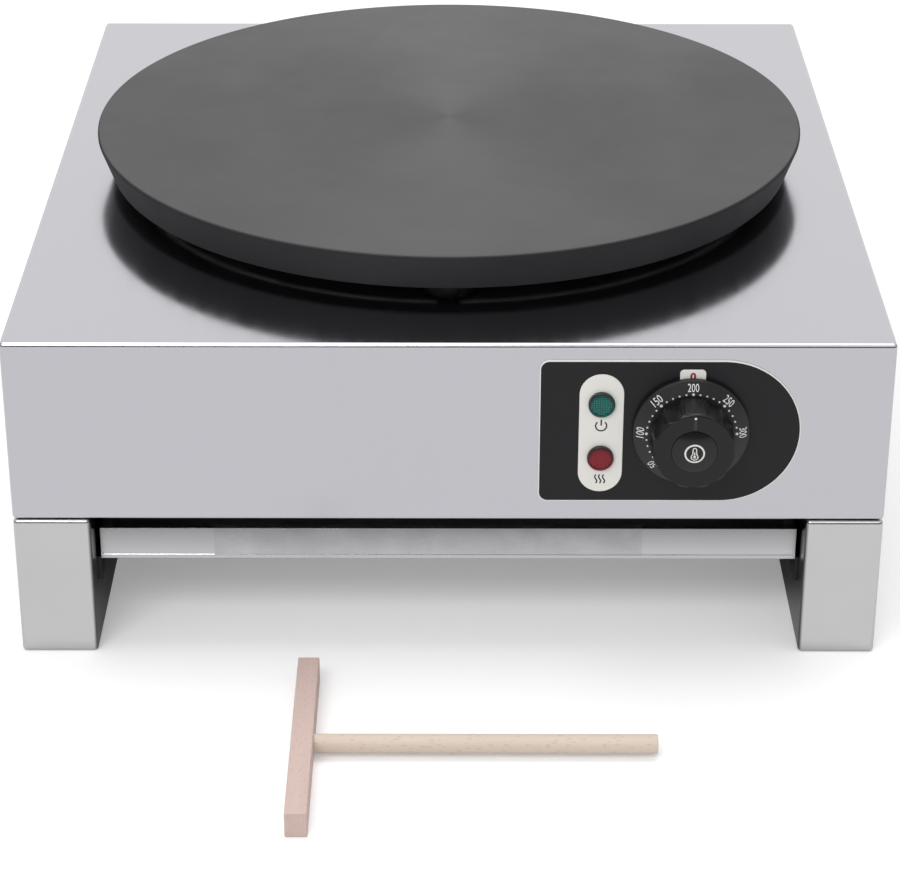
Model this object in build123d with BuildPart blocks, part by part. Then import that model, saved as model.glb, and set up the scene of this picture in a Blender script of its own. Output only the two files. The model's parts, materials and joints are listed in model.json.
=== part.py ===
from build123d import *
import os
from math import cos, hypot, radians, sin, sqrt

# Electric crepe maker: a cast griddle on three posts above a folded sheet casing, which stands on
# two box legs with a drawer between them. A loose wooden spreader lies in front of it.
# Millimetres, +Z up, +Y to the back. The origin is on the counter, under the griddle's centre.

os.makedirs("parts", exist_ok=True)

# ---------------------------------------------------------------- sizes: casing and legs
body_width = 450.0
body_depth = 490.0
casing_height = 100.0
casing_sheet = 1.2
casing_fold = 2.5            # outside radius of the casing's upper and upright folds
base_fold = 1.4              # outside radius of the folds along the casing's lower edge
side_flange = 56.0           # lower return flange along the sides, over the legs
end_flange = 16.0            # lower return flange along front and back
leg_height = 80.0
leg_width = 40.0
leg_sheet = 1.2
leg_fold = 1.5
leg_lip = 7.0                # floor flange along a leg's long sides
leg_end_lip = 28.0           # floor flange at a leg's ends, with the fixing hole
foot_hole_radius = 3.25      # clears an M6 bolt
foot_hole_inset = 14.0       # from the front and back faces
leg_bolt_distance = 180.0    # from the middle to the end leg bolts
leg_bolt_radius = 2.5
leg_bolt_flats = 8.0
leg_bolt_head = 3.5
leg_nut_height = 4.0
bolt_tip = 2.0               # thread that shows past a nut
bolt_clearance = 0.25        # radial, where a bolt passes through a sheet

# ---------------------------------------------------------------- sizes: bottom plate
bottom_sheet = 1.0
bottom_side_gap = 0.5        # to each leg's inner wall
bottom_end_inset = 3.0       # from the front and back faces
bottom_screw_radius = 1.75
bottom_screw_inset = 7.5     # from the plate's side edges
bottom_screw_pitch = 140.0
bottom_screw_head = 1.8
bottom_screw_tip = 4.0       # thread that shows past the casing's flange
vent_length = 60.0
vent_width = 5.0
vent_pitch = 16.0            # from slot to slot, front to back
vent_rows = 6
vent_spacing = 90.0          # from slot to slot, left to right
vent_columns = 2

# ---------------------------------------------------------------- sizes: griddle and posts
griddle_radius = 200.0
griddle_foot_radius = 193.0
griddle_thickness = 21.0
griddle_land = 2.0           # upright band under the upper edge
griddle_edge = 1.5           # rounding of the upper edge
griddle_foot_edge = 1.0      # rounding of the lower edge
griddle_web = 8.0            # the cooking plate itself, over the hollow underside
griddle_hollow_radius = 180.0
post_radius = 14.0
post_height = 7.0
post_circle_radius = 160.0
post_count = 3
boss_radius = 16.0
stud_radius = 4.0
stud_depth = 12.0            # screwed into the boss
stud_clearance = 0.25
centre_boss_radius = 12.0
centre_stud_radius = 3.0
centre_stud_depth = 9.0
shield_nut_flats = 10.0
shield_nut_height = 4.0
rib_width = 10.0
rib_drop = 9.0               # height of the rib between a boss and the rim
ring_inner = 142.0           # stiffening ring under the casing's top
ring_outer = 178.0
ring_sheet = 2.0
washer_radius = 9.0
washer_sheet = 1.6
nut_flats = 13.0
nut_height = 6.5

# ---------------------------------------------------------------- sizes: heating under the griddle
element_radius = 4.0
element_outer_ring = 125.0
element_inner_ring = 70.0
element_turn_angle = 50.0    # where the outer ring turns back into the inner one
element_bend = 12.0          # bend of each end, down into the casing
element_drop = 38.0          # straight length of each end below its bend
terminal_radius = 2.0
terminal_length = 10.0
clamp_width = 16.0
clamp_sheet = 2.0
clamp_overlap = 8.0          # beyond each ring's tube
clamp_boss_radius = 7.0
clamp_screw_radius = 2.5
clamp_screw_depth = 8.0
clamp_screw_reach = 7.0      # thread inside its boss
clamp_screw_head = 1.8
screw_head_ratio = 1.8       # a pan head's radius against its shank's
pad_sheet = 4.0
pad_edge_gap = 4.0           # to the wall of the griddle's hollow
shield_sheet = 0.8
underside_clearance = 1.0    # round what passes through pad and shield
bush_flange_radius = 9.0
bush_radius = 7.0
bush_flange = 2.0
bush_length = 8.0
bush_clearance = 0.1
pocket_width = 14.0          # cast block that holds the sensor bulb
pocket_length = 78.0
bulb_radius = 3.0
bulb_length = 68.0
bulb_clearance = 0.1
capillary_radius = 1.0
capillary_run = 25.0         # from the bulb to the first bend
capillary_bend = 6.0
capillary_sweep = 22.0
grommet_radius = 6.0
grommet_flange = 1.5

# ---------------------------------------------------------------- sizes: front panel and knob
panel_right_gap = 46.0       # to the casing's right side
panel_width = 133.0
panel_height = 80.0
panel_rise = 51.5            # panel's middle above the casing's bottom
panel_sheet = 1.0
panel_corner = 5.0
knob_inset = 77.0            # knob's axis from the panel's left end
knob_rise = 53.0             # knob's axis above the casing's bottom
tab_width = 13.0
tab_height = 12.0
tab_show = 4.2               # how far the index tab stands above the dial
tab_sheet = 0.8
tab_corner = 2.0
dial_radius = 29.5
dial_standoff = 1.3          # dial's rear edge above the panel
dial_lip = 1.5
dial_underside = 2.7         # dial's hollow, above the panel
dial_rim_face = 3.8          # dial's face at its rim, above the panel
dial_face = 5.2              # dial's flat middle, above the panel
dial_flat_radius = 22.5
hub_radius = 6.5
hub_start = 1.6              # hub's rear end above the panel
hub_clearance = 0.05
grip_base_radius = 21.4
grip_radius = 20.8           # at its face
grip_face = 25.0             # grip's face above the panel
grip_edge = 1.4
grip_wall = 2.6
grip_skin = 3.5
flute_count = 12
flute_radius = 8.0
flute_depth = 1.7
pointer_width = 11.0
pointer_stand = 0.5          # how far the pointer's rib stands out of the grip
pointer_step = 0.8           # pointer's front end behind the grip's face
pointer_root = 16.0          # inner end of the pointer's rib
groove_width = 2.4
groove_depth = 0.5
web_sheet = 1.6
cap_radius = 11.3
cap_clearance = 0.1
cap_recess = 1.0
cap_edge = 0.3
cap_dome = 2.2
spindle_radius = 3.0
spindle_flat = 2.0           # flat's distance from the spindle's axis
spindle_fit = 0.02
spindle_out = 18.0           # spindle's outer end above the panel
spindle_depth = 10.0         # how far it reaches into the thermostat
spindle_running_fit = 0.05
spindle_well = 11.0          # depth of the spindle's hole in the thermostat
spindle_hole_radius = 5.0

# ---------------------------------------------------------------- sizes: thermostat, lamps, wiring
thermostat_width = 34.0
thermostat_height = 40.0
thermostat_depth = 28.0
thermostat_corner = 2.0
bracket_width = 40.0
bracket_height = 30.0
bracket_sheet = 1.5
thermostat_screw_distance = 14.0
thermostat_screw_radius = 2.0
thermostat_screw_head = 2.0
thermostat_screw_tip = 3.0
tab_terminal_width = 6.3
tab_terminal_sheet = 0.8
tab_terminal_length = 8.0
tab_terminal_distance = 8.0
lamp_inset = 31.5            # lamps' axes from the panel's left end
power_rise = 67.7
heat_rise = 37.3
lamp_plate_width = 22.5
lamp_plate_height = 66.5
lamp_plate_rise = 50.8
lamp_plate_sheet = 0.8
lens_radius = 6.8
lens_height = 2.2
lens_wall = 1.1
lens_recess = 0.7
lens_edge = 0.5
lamp_radius = 5.0
lamp_length = 24.0
lamp_clearance = 0.15
lamp_nut_radius = 7.5
lamp_nut_height = 3.0
block_side_gap = 14.0        # terminal block's end to the casing's side flange
block_back_gap = 38.0        # terminal block's rear side to the casing's rear face
block_width = 60.0
block_depth = 24.0
block_height = 20.0
block_ways = 5
block_screw_radius = 2.0
block_screw_inset = 5.0
block_screw_clearance = 0.1
block_screw_head = 1.8
wire_radius = 1.5
wire_clearance = 0.1
wire_insert = 8.0            # how far a wire reaches into the terminal block
lamp_wire_radius = 0.9
wire_bend = 14.0

# ---------------------------------------------------------------- sizes: cable gland at the back
gland_rise = 34.0            # gland's axis above the casing's bottom
gland_thread_radius = 10.0
gland_thread_clearance = 0.1
gland_bore_radius = 6.0
gland_flats = 24.0
gland_flange = 6.0
gland_thread_inside = 9.0
gland_cap_flats = 23.0
gland_cap_hex = 10.0
gland_cap_nose = 6.0
gland_nose_radius = 8.5
cable_hole_radius = 4.75
locknut_flats = 27.0
locknut_height = 5.0

# ---------------------------------------------------------------- sizes: drawer and runners
drawer_side_gap = 2.0        # to each leg's inner wall
drawer_bottom = 45.5
drawer_height = 18.0
drawer_recess = 20.0         # drawer's front behind the casing's front
drawer_depth = 425.0
drawer_sheet = 1.0
drawer_corner = 0.8
hem_height = 2.6
hem_stand = 0.6
pull_left = -123.0
pull_right = 102.0
pull_sheet = 0.8
pull_lip = 0.5
pull_reach = 3.0             # how far the lip reaches back over the drawer's front
runner_width = 15.0
runner_sheet = 1.5
runner_drop = 14.0
runner_setback = 2.0         # runner's front end behind the drawer's front
runner_corner = 10.0
runner_gap = 0.3             # drawer's running gap above the runners
stop_gap = 0.4               # behind the closed drawer
stop_height = 12.0
rivet_radius = 2.0
rivet_head_radius = 3.6
rivet_head = 1.0
rivet_taper = 20.0           # degrees, of the head's edge
rivet_distance = 170.0
drawer_rivet_distance = 80.0

# ---------------------------------------------------------------- sizes: spreader
spreader_x = -72.0
spreader_gap = 98.0          # spreader's middle in front of the casing's front
head_length = 140.0
head_width = 11.0
head_height = 14.0
head_edge = 0.6
handle_radius = 4.9
handle_length = 171.0        # from the head's side to the handle's end
handle_socket = 6.0
handle_edge = 0.8

# ---------------------------------------------------------------- places worked out from the sizes
half_width = body_width / 2
half_depth = body_depth / 2
casing_bottom = leg_height
casing_top = casing_bottom + casing_height
casing_ceiling = casing_top - casing_sheet
leg_middle = half_width - leg_width / 2
leg_inner_wall = half_width - leg_width
foot_hole_y = half_depth - foot_hole_inset
griddle_bottom = casing_top + post_height
griddle_top = griddle_bottom + griddle_thickness
web_underside = griddle_top - griddle_web
element_level = web_underside - element_radius
clamp_top = element_level - element_radius
pad_top = clamp_top
shield_top = pad_top - pad_sheet
shield_bottom = shield_top - shield_sheet
ring_bottom = casing_ceiling - ring_sheet
washer_bottom = ring_bottom - washer_sheet
post_nut_bottom = washer_bottom - nut_height
clamp_circle_radius = (element_outer_ring + element_inner_ring) / 2
bulb_level = web_underside - bulb_radius
exit_slot = element_bend - element_radius
panel_left = half_width - panel_right_gap - panel_width
knob_x = panel_left + knob_inset
knob_level = casing_bottom + knob_rise
lamp_x = panel_left + lamp_inset
block_x = block_width / 2 + block_side_gap + side_flange - half_width
gland_x = block_x
panel_face = half_depth + panel_sheet

# Drawing planes: their sketches lie in X and Z, seen from in front, and their normal points forward.
front = Plane.XZ.offset(half_depth)
front_inside = Plane.XZ.offset(half_depth - casing_sheet)
panel_front = Plane.XZ.offset(panel_face)
back = Plane(origin=(0, half_depth, 0), x_dir=(-1, 0, 0), z_dir=(0, 1, 0))
back_inside = back.offset(-casing_sheet)


def save(piece, name):
    """Label a finished piece and write it to its own file."""
    piece.label = name
    export_step(piece, f"parts/{name}.step")


def around(radius, count, start=-90.0):
    """Places spread evenly on a circle, the first one at the front."""
    step = 360 / count
    angles = [radians(start + step * index) for index in range(count)]
    return [(radius * cos(angle), radius * sin(angle)) for angle in angles]


def rods(plane, places, radius, length):
    """Round rods that start on a plane and run along its normal."""
    with BuildPart() as group:
        with BuildSketch(plane):
            with Locations(*places):
                Circle(radius)
        extrude(amount=length)
    return group.part


def hex_nuts(plane, places, flats, height, hole_radius):
    """Hexagon nuts that stand on a plane."""
    with BuildPart() as group:
        with BuildSketch(plane):
            with Locations(*places):
                RegularPolygon(flats / 2, 6, major_radius=False)
                Circle(hole_radius, mode=Mode.SUBTRACT)
        extrude(amount=height)
    return group.part


def hex_bolts(plane, places, flats, head, radius, length):
    """Hexagon bolts: heads outside a plane, shanks behind it."""
    with BuildPart() as group:
        with BuildSketch(plane):
            with Locations(*places):
                RegularPolygon(flats / 2, 6, major_radius=False)
        extrude(amount=head)
        with BuildSketch(plane):
            with Locations(*places):
                Circle(radius)
        extrude(amount=-length)
    return group.part


def pan_screws(plane, places, radius, head, length):
    """Pan-head screws: domed heads outside a plane, shanks behind it."""
    head_radius = radius * screw_head_ratio
    with BuildPart() as group:
        with BuildSketch(plane):
            with Locations(*places):
                Circle(head_radius)
        extrude(amount=head)
        outer = group.faces().filter_by(lambda face: face.normal_at().dot(plane.z_dir) > 0.9)
        fillet(outer.edges(), head / 2)
        with BuildSketch(plane):
            with Locations(*places):
                Circle(radius)
        extrude(amount=-length)
    return group.part


def bent_wire(points, radius, bends):
    """A round wire or tube: straight runs joined by tangent arcs."""
    first = Vector(*points[0])
    second = Vector(*points[1])
    with BuildPart() as wire:
        with BuildLine():
            FilletPolyline(*points, radius=bends)
        with BuildSketch(Plane(origin=first, z_dir=second - first)):
            Circle(radius)
        sweep()
    return wire.part


post_places = around(post_circle_radius, post_count)
clamp_places = around(clamp_circle_radius, post_count)

# ================================================================ casing
# One sheet folded into a top and four walls, with return flanges along its lower edges.

ring_exit = hypot(element_outer_ring, element_bend)
inner_exit = hypot(element_inner_ring, element_bend)
element_exits = [(0, inner_exit), (0, ring_exit)]
capillary_exit = (clamp_circle_radius, -(pocket_length / 2 + capillary_run))
lamp_levels = {"power": casing_bottom + power_rise, "heat": casing_bottom + heat_rise}
lamp_places = [(lamp_x, level) for level in lamp_levels.values()]
thermostat_screw_places = [(knob_x + side * thermostat_screw_distance, knob_level) for side in (-1, 1)]
leg_bolt_places = [(side * leg_middle, leg_bolt_distance * index) for side in (-1, 1) for index in (-1, 0, 1)]
bottom_screw_x = leg_inner_wall - bottom_side_gap - bottom_screw_inset
bottom_screw_places = [
    (side * bottom_screw_x, bottom_screw_pitch * index / 2) for side in (-1, 1) for index in (-3, -1, 1, 3)
]
gland_places = [(-gland_x, casing_bottom + gland_rise)]

with BuildPart() as casing_hollow:
    with BuildSketch(Plane.XY.offset(casing_bottom + casing_sheet)):
        Rectangle(body_width - 2 * casing_sheet, body_depth - 2 * casing_sheet)
    extrude(amount=casing_height - 2 * casing_sheet)
    fillet(casing_hollow.edges().filter_by(Axis.Z), casing_fold - casing_sheet)
    fillet(casing_hollow.faces().sort_by(Axis.Z)[-1].edges(), casing_fold - casing_sheet)

with BuildPart() as casing:
    with BuildSketch(Plane.XY.offset(casing_bottom)):
        Rectangle(body_width, body_depth)
    extrude(amount=casing_height)
    fillet(casing.edges().filter_by(Axis.Z), casing_fold)
    fillet(casing.faces().sort_by(Axis.Z)[-1].edges(), casing_fold)
    fillet(casing.faces().sort_by(Axis.Z)[0].edges(), base_fold)
    add(casing_hollow.part, mode=Mode.SUBTRACT)
    with BuildSketch(Plane.XY.offset(casing_bottom)):
        Rectangle(body_width - 2 * side_flange, body_depth - 2 * end_flange)
    extrude(amount=casing_sheet, mode=Mode.SUBTRACT)
    # holes in the top: post studs, the element's ends, the sensor's tube
    with BuildSketch(Plane.XY.offset(casing_ceiling)):
        with Locations(*post_places):
            Circle(stud_radius + stud_clearance)
        with Locations(*element_exits):
            Circle(bush_radius + bush_clearance)
        with Locations(capillary_exit):
            Circle(grommet_radius)
    extrude(amount=casing_sheet, mode=Mode.SUBTRACT)
    # holes in the lower flanges: leg bolts and bottom plate screws
    with BuildSketch(Plane.XY.offset(casing_bottom)):
        with Locations(*leg_bolt_places):
            Circle(leg_bolt_radius + bolt_clearance)
        with Locations(*bottom_screw_places):
            Circle(bottom_screw_radius)
    extrude(amount=casing_sheet, mode=Mode.SUBTRACT)
    # holes in the front: spindle, thermostat screws, lamps
    with BuildSketch(front_inside):
        with Locations((knob_x, knob_level)):
            Circle(spindle_hole_radius)
        with Locations(*thermostat_screw_places):
            Circle(thermostat_screw_radius + bolt_clearance)
        with Locations(*lamp_places):
            Circle(lamp_radius + lamp_clearance)
    extrude(amount=casing_sheet, mode=Mode.SUBTRACT)
    # hole in the back: cable gland
    with BuildSketch(back_inside):
        with Locations(*gland_places):
            Circle(gland_thread_radius + gland_thread_clearance)
    extrude(amount=casing_sheet, mode=Mode.SUBTRACT)
save(casing.part, "casing")

# ================================================================ legs
# Box legs folded from sheet, the full depth of the casing, open below between their floor flanges.


def make_leg(side):
    """One leg: -1 is the left one, 1 the right one."""
    middle = side * leg_middle
    with BuildPart() as leg:
        with BuildSketch():
            with Locations((middle, 0)):
                Rectangle(leg_width, body_depth)
        extrude(amount=leg_height)
        fillet(leg.edges(), leg_fold)
        with BuildSketch(Plane.XY.offset(leg_sheet)):
            with Locations((middle, 0)):
                Rectangle(leg_width - 2 * leg_sheet, body_depth - 2 * leg_sheet)
        extrude(amount=leg_height - 2 * leg_sheet, mode=Mode.SUBTRACT)
        with BuildSketch():
            with Locations((middle, 0)):
                Rectangle(leg_width - 2 * leg_lip, body_depth - 2 * leg_end_lip)
            with Locations((middle, foot_hole_y), (middle, -foot_hole_y)):
                Circle(foot_hole_radius)
        extrude(amount=leg_sheet, mode=Mode.SUBTRACT)
        with BuildSketch(Plane.XY.offset(leg_height - leg_sheet)):
            with Locations((middle, 0)):
                with GridLocations(0, leg_bolt_distance, 1, 3):
                    Circle(leg_bolt_radius + bolt_clearance)
        extrude(amount=leg_sheet, mode=Mode.SUBTRACT)
        with BuildSketch(Plane.YZ.offset(side * (leg_inner_wall + leg_sheet))):
            with Locations(*rivet_places):
                Circle(rivet_radius)
        extrude(amount=-side * leg_sheet, mode=Mode.SUBTRACT)
    return leg.part


runner_top = drawer_bottom - runner_gap
runner_bottom = runner_top - runner_drop
drawer_front_y = drawer_recess - half_depth
drawer_back_y = drawer_front_y + drawer_depth
runner_front_y = drawer_front_y + runner_setback
stop_y = drawer_back_y + stop_gap
runner_back_y = stop_y + runner_sheet
rivet_level = runner_bottom + (runner_drop - runner_sheet) / 2
rivet_places = [(rivet_distance * index, rivet_level) for index in (-1, 0, 1)]

left_leg = make_leg(-1)
save(left_leg, "left_leg")
right_leg = make_leg(1)
save(right_leg, "right_leg")

leg_bolt_length = leg_sheet + casing_sheet + leg_nut_height + bolt_tip
leg_bolts = hex_bolts(
    Plane(origin=(0, 0, leg_height - leg_sheet), x_dir=(1, 0, 0), z_dir=(0, 0, -1)),
    leg_bolt_places, leg_bolt_flats, leg_bolt_head, leg_bolt_radius, leg_bolt_length,
)
save(leg_bolts, "leg_bolts")
leg_nuts = hex_nuts(
    Plane.XY.offset(casing_bottom + casing_sheet),
    leg_bolt_places, leg_bolt_flats, leg_nut_height, leg_bolt_radius,
)
save(leg_nuts, "leg_nuts")

# ================================================================ bottom plate
# It closes the casing from below between the legs, and its slots let the casing breathe.

bottom_width = body_width - 2 * leg_width - 2 * bottom_side_gap
bottom_depth = body_depth - 2 * bottom_end_inset
block_middle_y = half_depth - block_back_gap - block_depth / 2
block_screw_x = block_width / 2 - block_screw_inset
block_screw_places = [(block_x - block_screw_x, block_middle_y), (block_x + block_screw_x, block_middle_y)]
bottom_under = casing_bottom - bottom_sheet

with BuildPart() as bottom_plate:
    with BuildSketch(Plane.XY.offset(bottom_under)):
        Rectangle(bottom_width, bottom_depth)
        with GridLocations(vent_spacing, vent_pitch, vent_columns, vent_rows):
            SlotOverall(vent_length, vent_width, mode=Mode.SUBTRACT)
        with Locations(*bottom_screw_places):
            Circle(bottom_screw_radius, mode=Mode.SUBTRACT)
        with Locations(*block_screw_places):
            Circle(block_screw_radius, mode=Mode.SUBTRACT)
    extrude(amount=bottom_sheet)
save(bottom_plate.part, "bottom_plate")

below_bottom = Plane(origin=(0, 0, bottom_under), x_dir=(1, 0, 0), z_dir=(0, 0, -1))
bottom_screws = pan_screws(
    below_bottom, [(x, -y) for x, y in bottom_screw_places], bottom_screw_radius, bottom_screw_head,
    bottom_sheet + casing_sheet + bottom_screw_tip,
)
save(bottom_screws, "bottom_screws")

# ================================================================ griddle
# A cast plate, turned outside, with a hollow underside that holds the heating element.

with BuildPart() as griddle_plate:
    with BuildSketch(Plane.XZ) as griddle_profile:
        with BuildLine():
            Polyline(
                (0, griddle_top), (griddle_radius, griddle_top), (griddle_radius, griddle_top - griddle_land),
                (griddle_foot_radius, griddle_bottom),
                (griddle_hollow_radius, griddle_bottom), (griddle_hollow_radius, web_underside),
                (0, web_underside), close=True,
            )
        make_face()
        rim = griddle_profile.vertices().sort_by_distance((griddle_radius, griddle_top))[0]
        fillet(rim, griddle_edge)
        foot = griddle_profile.vertices().sort_by_distance((griddle_foot_radius, griddle_bottom))[0]
        fillet(foot, griddle_foot_edge)
    revolve(axis=Axis.Z)
    # bosses for the studs, each tied to the rim by a rib
    with BuildSketch(Plane.XY.offset(griddle_bottom)):
        with Locations(*post_places):
            Circle(boss_radius)
    extrude(amount=griddle_thickness - griddle_web)
    with BuildSketch(Plane.XY.offset(web_underside - rib_drop)):
        with PolarLocations(post_circle_radius + boss_radius, post_count, start_angle=-90):
            Rectangle(boss_radius, rib_width)
    extrude(amount=rib_drop)
    # bosses for the clamp screws, the shield's stud and the sensor bulb
    with BuildSketch(Plane.XY.offset(clamp_top)):
        with Locations(*clamp_places):
            Circle(clamp_boss_radius)
        Circle(centre_boss_radius)
        with Locations((clamp_circle_radius, 0)):
            RectangleRounded(pocket_width, pocket_length, pocket_width / 4)
    extrude(amount=web_underside - clamp_top)
    # blind holes
    with BuildSketch(Plane.XY.offset(griddle_bottom)):
        with Locations(*post_places):
            Circle(stud_radius)
    extrude(amount=stud_depth, mode=Mode.SUBTRACT)
    with BuildSketch(Plane.XY.offset(clamp_top)):
        with Locations(*clamp_places):
            Circle(clamp_screw_radius)
    extrude(amount=clamp_screw_depth, mode=Mode.SUBTRACT)
    with BuildSketch(Plane.XY.offset(clamp_top)):
        Circle(centre_stud_radius)
    extrude(amount=centre_stud_depth, mode=Mode.SUBTRACT)
    with BuildSketch(Plane.XZ.offset(pocket_length / 2)):
        with Locations((clamp_circle_radius, bulb_level)):
            Circle(bulb_radius + bulb_clearance)
    extrude(amount=-(bulb_length + bulb_clearance), mode=Mode.SUBTRACT)
save(griddle_plate.part, "griddle_plate")

with BuildPart() as support_posts:
    with BuildSketch(Plane.XY.offset(casing_top)):
        with Locations(*post_places):
            Circle(post_radius)
            Circle(stud_radius + stud_clearance, mode=Mode.SUBTRACT)
    extrude(amount=post_height)
save(support_posts.part, "support_posts")

with BuildPart() as stiffening_ring:
    with BuildSketch(Plane.XY.offset(ring_bottom)):
        Circle(ring_outer)
        Circle(ring_inner, mode=Mode.SUBTRACT)
        with Locations(*post_places):
            Circle(stud_radius + stud_clearance, mode=Mode.SUBTRACT)
    extrude(amount=ring_sheet)
save(stiffening_ring.part, "stiffening_ring")

with BuildPart() as post_washers:
    with BuildSketch(Plane.XY.offset(washer_bottom)):
        with Locations(*post_places):
            Circle(washer_radius)
            Circle(stud_radius + stud_clearance, mode=Mode.SUBTRACT)
    extrude(amount=washer_sheet)
save(post_washers.part, "post_washers")

post_nuts = hex_nuts(Plane.XY.offset(post_nut_bottom), post_places, nut_flats, nut_height, stud_radius)
save(post_nuts, "post_nuts")

post_stud_bottom = post_nut_bottom - bolt_tip
post_stud_length = griddle_bottom + stud_depth - post_stud_bottom
post_studs = rods(Plane.XY.offset(post_stud_bottom), post_places, stud_radius, post_stud_length)
save(post_studs, "post_studs")

# ================================================================ heating element
# One tube: an outer ring that turns back into an inner ring. Both ends bend down into the casing.


def ring_point(radius, angle):
    """A point of the element's level, at an angle from +X in degrees."""
    return Vector(radius * cos(radians(angle)), radius * sin(radians(angle)), element_level)


def ring_end(radius):
    """Where a ring of this radius leaves its circle, so that its end drops at X = 0."""
    distance = hypot(radius, element_bend)
    return Vector(-element_bend * radius / distance, radius * radius / distance, element_level)


def bend_middle(radius):
    """The middle of the bend that turns an end down, and the bend's lower end."""
    top = ring_end(radius)
    foot = Vector(0, hypot(radius, element_bend), element_level - element_bend)
    along = Vector(top.X, top.Y - foot.Y, 0).normalized()
    centre = foot + along * element_bend
    share = sqrt(0.5) * element_bend
    return centre - along * share + Vector(0, 0, share), foot


outer_middle, outer_foot = bend_middle(element_outer_ring)
inner_middle, inner_foot = bend_middle(element_inner_ring)
element_bottom = element_level - element_bend - element_drop
turn_radius = (element_outer_ring - element_inner_ring) / 2
turn_side = Vector(-sin(radians(element_turn_angle)), cos(radians(element_turn_angle)), 0)
turn_middle = ring_point(clamp_circle_radius, element_turn_angle) + turn_side * turn_radius
far_angle = 90 + (360 + element_turn_angle - 90) / 2

with BuildPart() as heating_element:
    with BuildLine():
        Line((0, outer_foot.Y, element_bottom), outer_foot)
        ThreePointArc(outer_foot, outer_middle, ring_end(element_outer_ring))
        ThreePointArc(
            ring_end(element_outer_ring), ring_point(element_outer_ring, far_angle),
            ring_point(element_outer_ring, element_turn_angle),
        )
        ThreePointArc(
            ring_point(element_outer_ring, element_turn_angle), turn_middle,
            ring_point(element_inner_ring, element_turn_angle),
        )
        ThreePointArc(
            ring_point(element_inner_ring, element_turn_angle), ring_point(element_inner_ring, far_angle),
            ring_end(element_inner_ring),
        )
        ThreePointArc(ring_end(element_inner_ring), inner_middle, inner_foot)
        Line(inner_foot, (0, inner_foot.Y, element_bottom))
    with BuildSketch(Plane.XY.offset(element_bottom)):
        with Locations((0, outer_foot.Y)):
            Circle(element_radius)
    sweep()
save(heating_element.part, "heating_element")

element_terminals = rods(
    Plane.XY.offset(element_bottom - terminal_length), element_exits, terminal_radius, terminal_length,
)
save(element_terminals, "element_terminals")

with BuildPart() as element_bushes:
    with BuildSketch(Plane.XY.offset(casing_top)):
        with Locations(*element_exits):
            Circle(bush_flange_radius)
    extrude(amount=bush_flange)
    with BuildSketch(Plane.XY.offset(casing_top)):
        with Locations(*element_exits):
            Circle(bush_radius)
    extrude(amount=-bush_length)
    with BuildSketch(Plane.XY.offset(casing_top + bush_flange)):
        with Locations(*element_exits):
            Circle(element_radius + bush_clearance)
    extrude(amount=-(bush_flange + bush_length), mode=Mode.SUBTRACT)
save(element_bushes.part, "element_bushes")

# flat bars that press both rings against the griddle
clamp_bar_length = element_outer_ring - element_inner_ring + 2 * clamp_overlap
with BuildPart() as element_clamps:
    with BuildSketch(Plane.XY.offset(clamp_top - clamp_sheet)):
        with PolarLocations(clamp_circle_radius, post_count, start_angle=-90):
            Rectangle(clamp_bar_length, clamp_width)
            Circle(clamp_screw_radius + bolt_clearance, mode=Mode.SUBTRACT)
    extrude(amount=clamp_sheet)
save(element_clamps.part, "element_clamps")

clamp_screws = pan_screws(
    Plane(origin=(0, 0, clamp_top - clamp_sheet), x_dir=(1, 0, 0), z_dir=(0, 0, -1)),
    [(x, -y) for x, y in clamp_places], clamp_screw_radius, clamp_screw_head, clamp_sheet + clamp_screw_reach,
)
save(clamp_screws, "clamp_screws")


def cut_underside_holes():
    """Sketch of what passes through the insulation and the shield."""
    with BuildSketch() as holes:
        with Locations(*post_places):
            Circle(boss_radius + underside_clearance)
        with Locations(*[(x - exit_slot / 2, y) for x, y in element_exits]):
            SlotCenterToCenter(exit_slot, 2 * (element_radius + underside_clearance))
        with Locations(capillary_exit):
            Circle(capillary_radius + underside_clearance)
        Circle(centre_stud_radius + bolt_clearance)
    return holes.sketch


underside_holes = cut_underside_holes()
pad_radius = griddle_hollow_radius - pad_edge_gap

with BuildPart() as insulation_pad:
    with BuildSketch(Plane.XY.offset(shield_top)):
        Circle(pad_radius)
        add(underside_holes, mode=Mode.SUBTRACT)
    extrude(amount=pad_sheet)
    # grooves for the clamp bars and their screws
    with BuildSketch(Plane.XY.offset(pad_top)):
        with PolarLocations(clamp_circle_radius, post_count, start_angle=-90):
            Rectangle(clamp_bar_length + 2 * underside_clearance, clamp_width + 2 * underside_clearance)
    extrude(amount=-clamp_sheet, mode=Mode.SUBTRACT)
    with BuildSketch(Plane.XY.offset(pad_top)):
        with Locations(*clamp_places):
            Circle(clamp_screw_radius * screw_head_ratio + underside_clearance)
    extrude(amount=-pad_sheet, mode=Mode.SUBTRACT)
save(insulation_pad.part, "insulation_pad")

with BuildPart() as heat_shield:
    with BuildSketch(Plane.XY.offset(shield_bottom)):
        Circle(pad_radius)
        add(underside_holes, mode=Mode.SUBTRACT)
    extrude(amount=shield_sheet)
save(heat_shield.part, "heat_shield")

shield_nut_bottom = shield_bottom - shield_nut_height
shield_nut = hex_nuts(
    Plane.XY.offset(shield_nut_bottom), [(0, 0)], shield_nut_flats, shield_nut_height, centre_stud_radius,
)
save(shield_nut, "shield_nut")

shield_stud_bottom = shield_nut_bottom - bolt_tip
shield_stud_length = clamp_top + centre_stud_depth - shield_stud_bottom
shield_stud = rods(Plane.XY.offset(shield_stud_bottom), [(0, 0)], centre_stud_radius, shield_stud_length)
save(shield_stud, "shield_stud")

# ================================================================ front panel, lamps and index tab

panel_end_radius = panel_height / 2
panel_middle = casing_bottom + panel_rise

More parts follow.
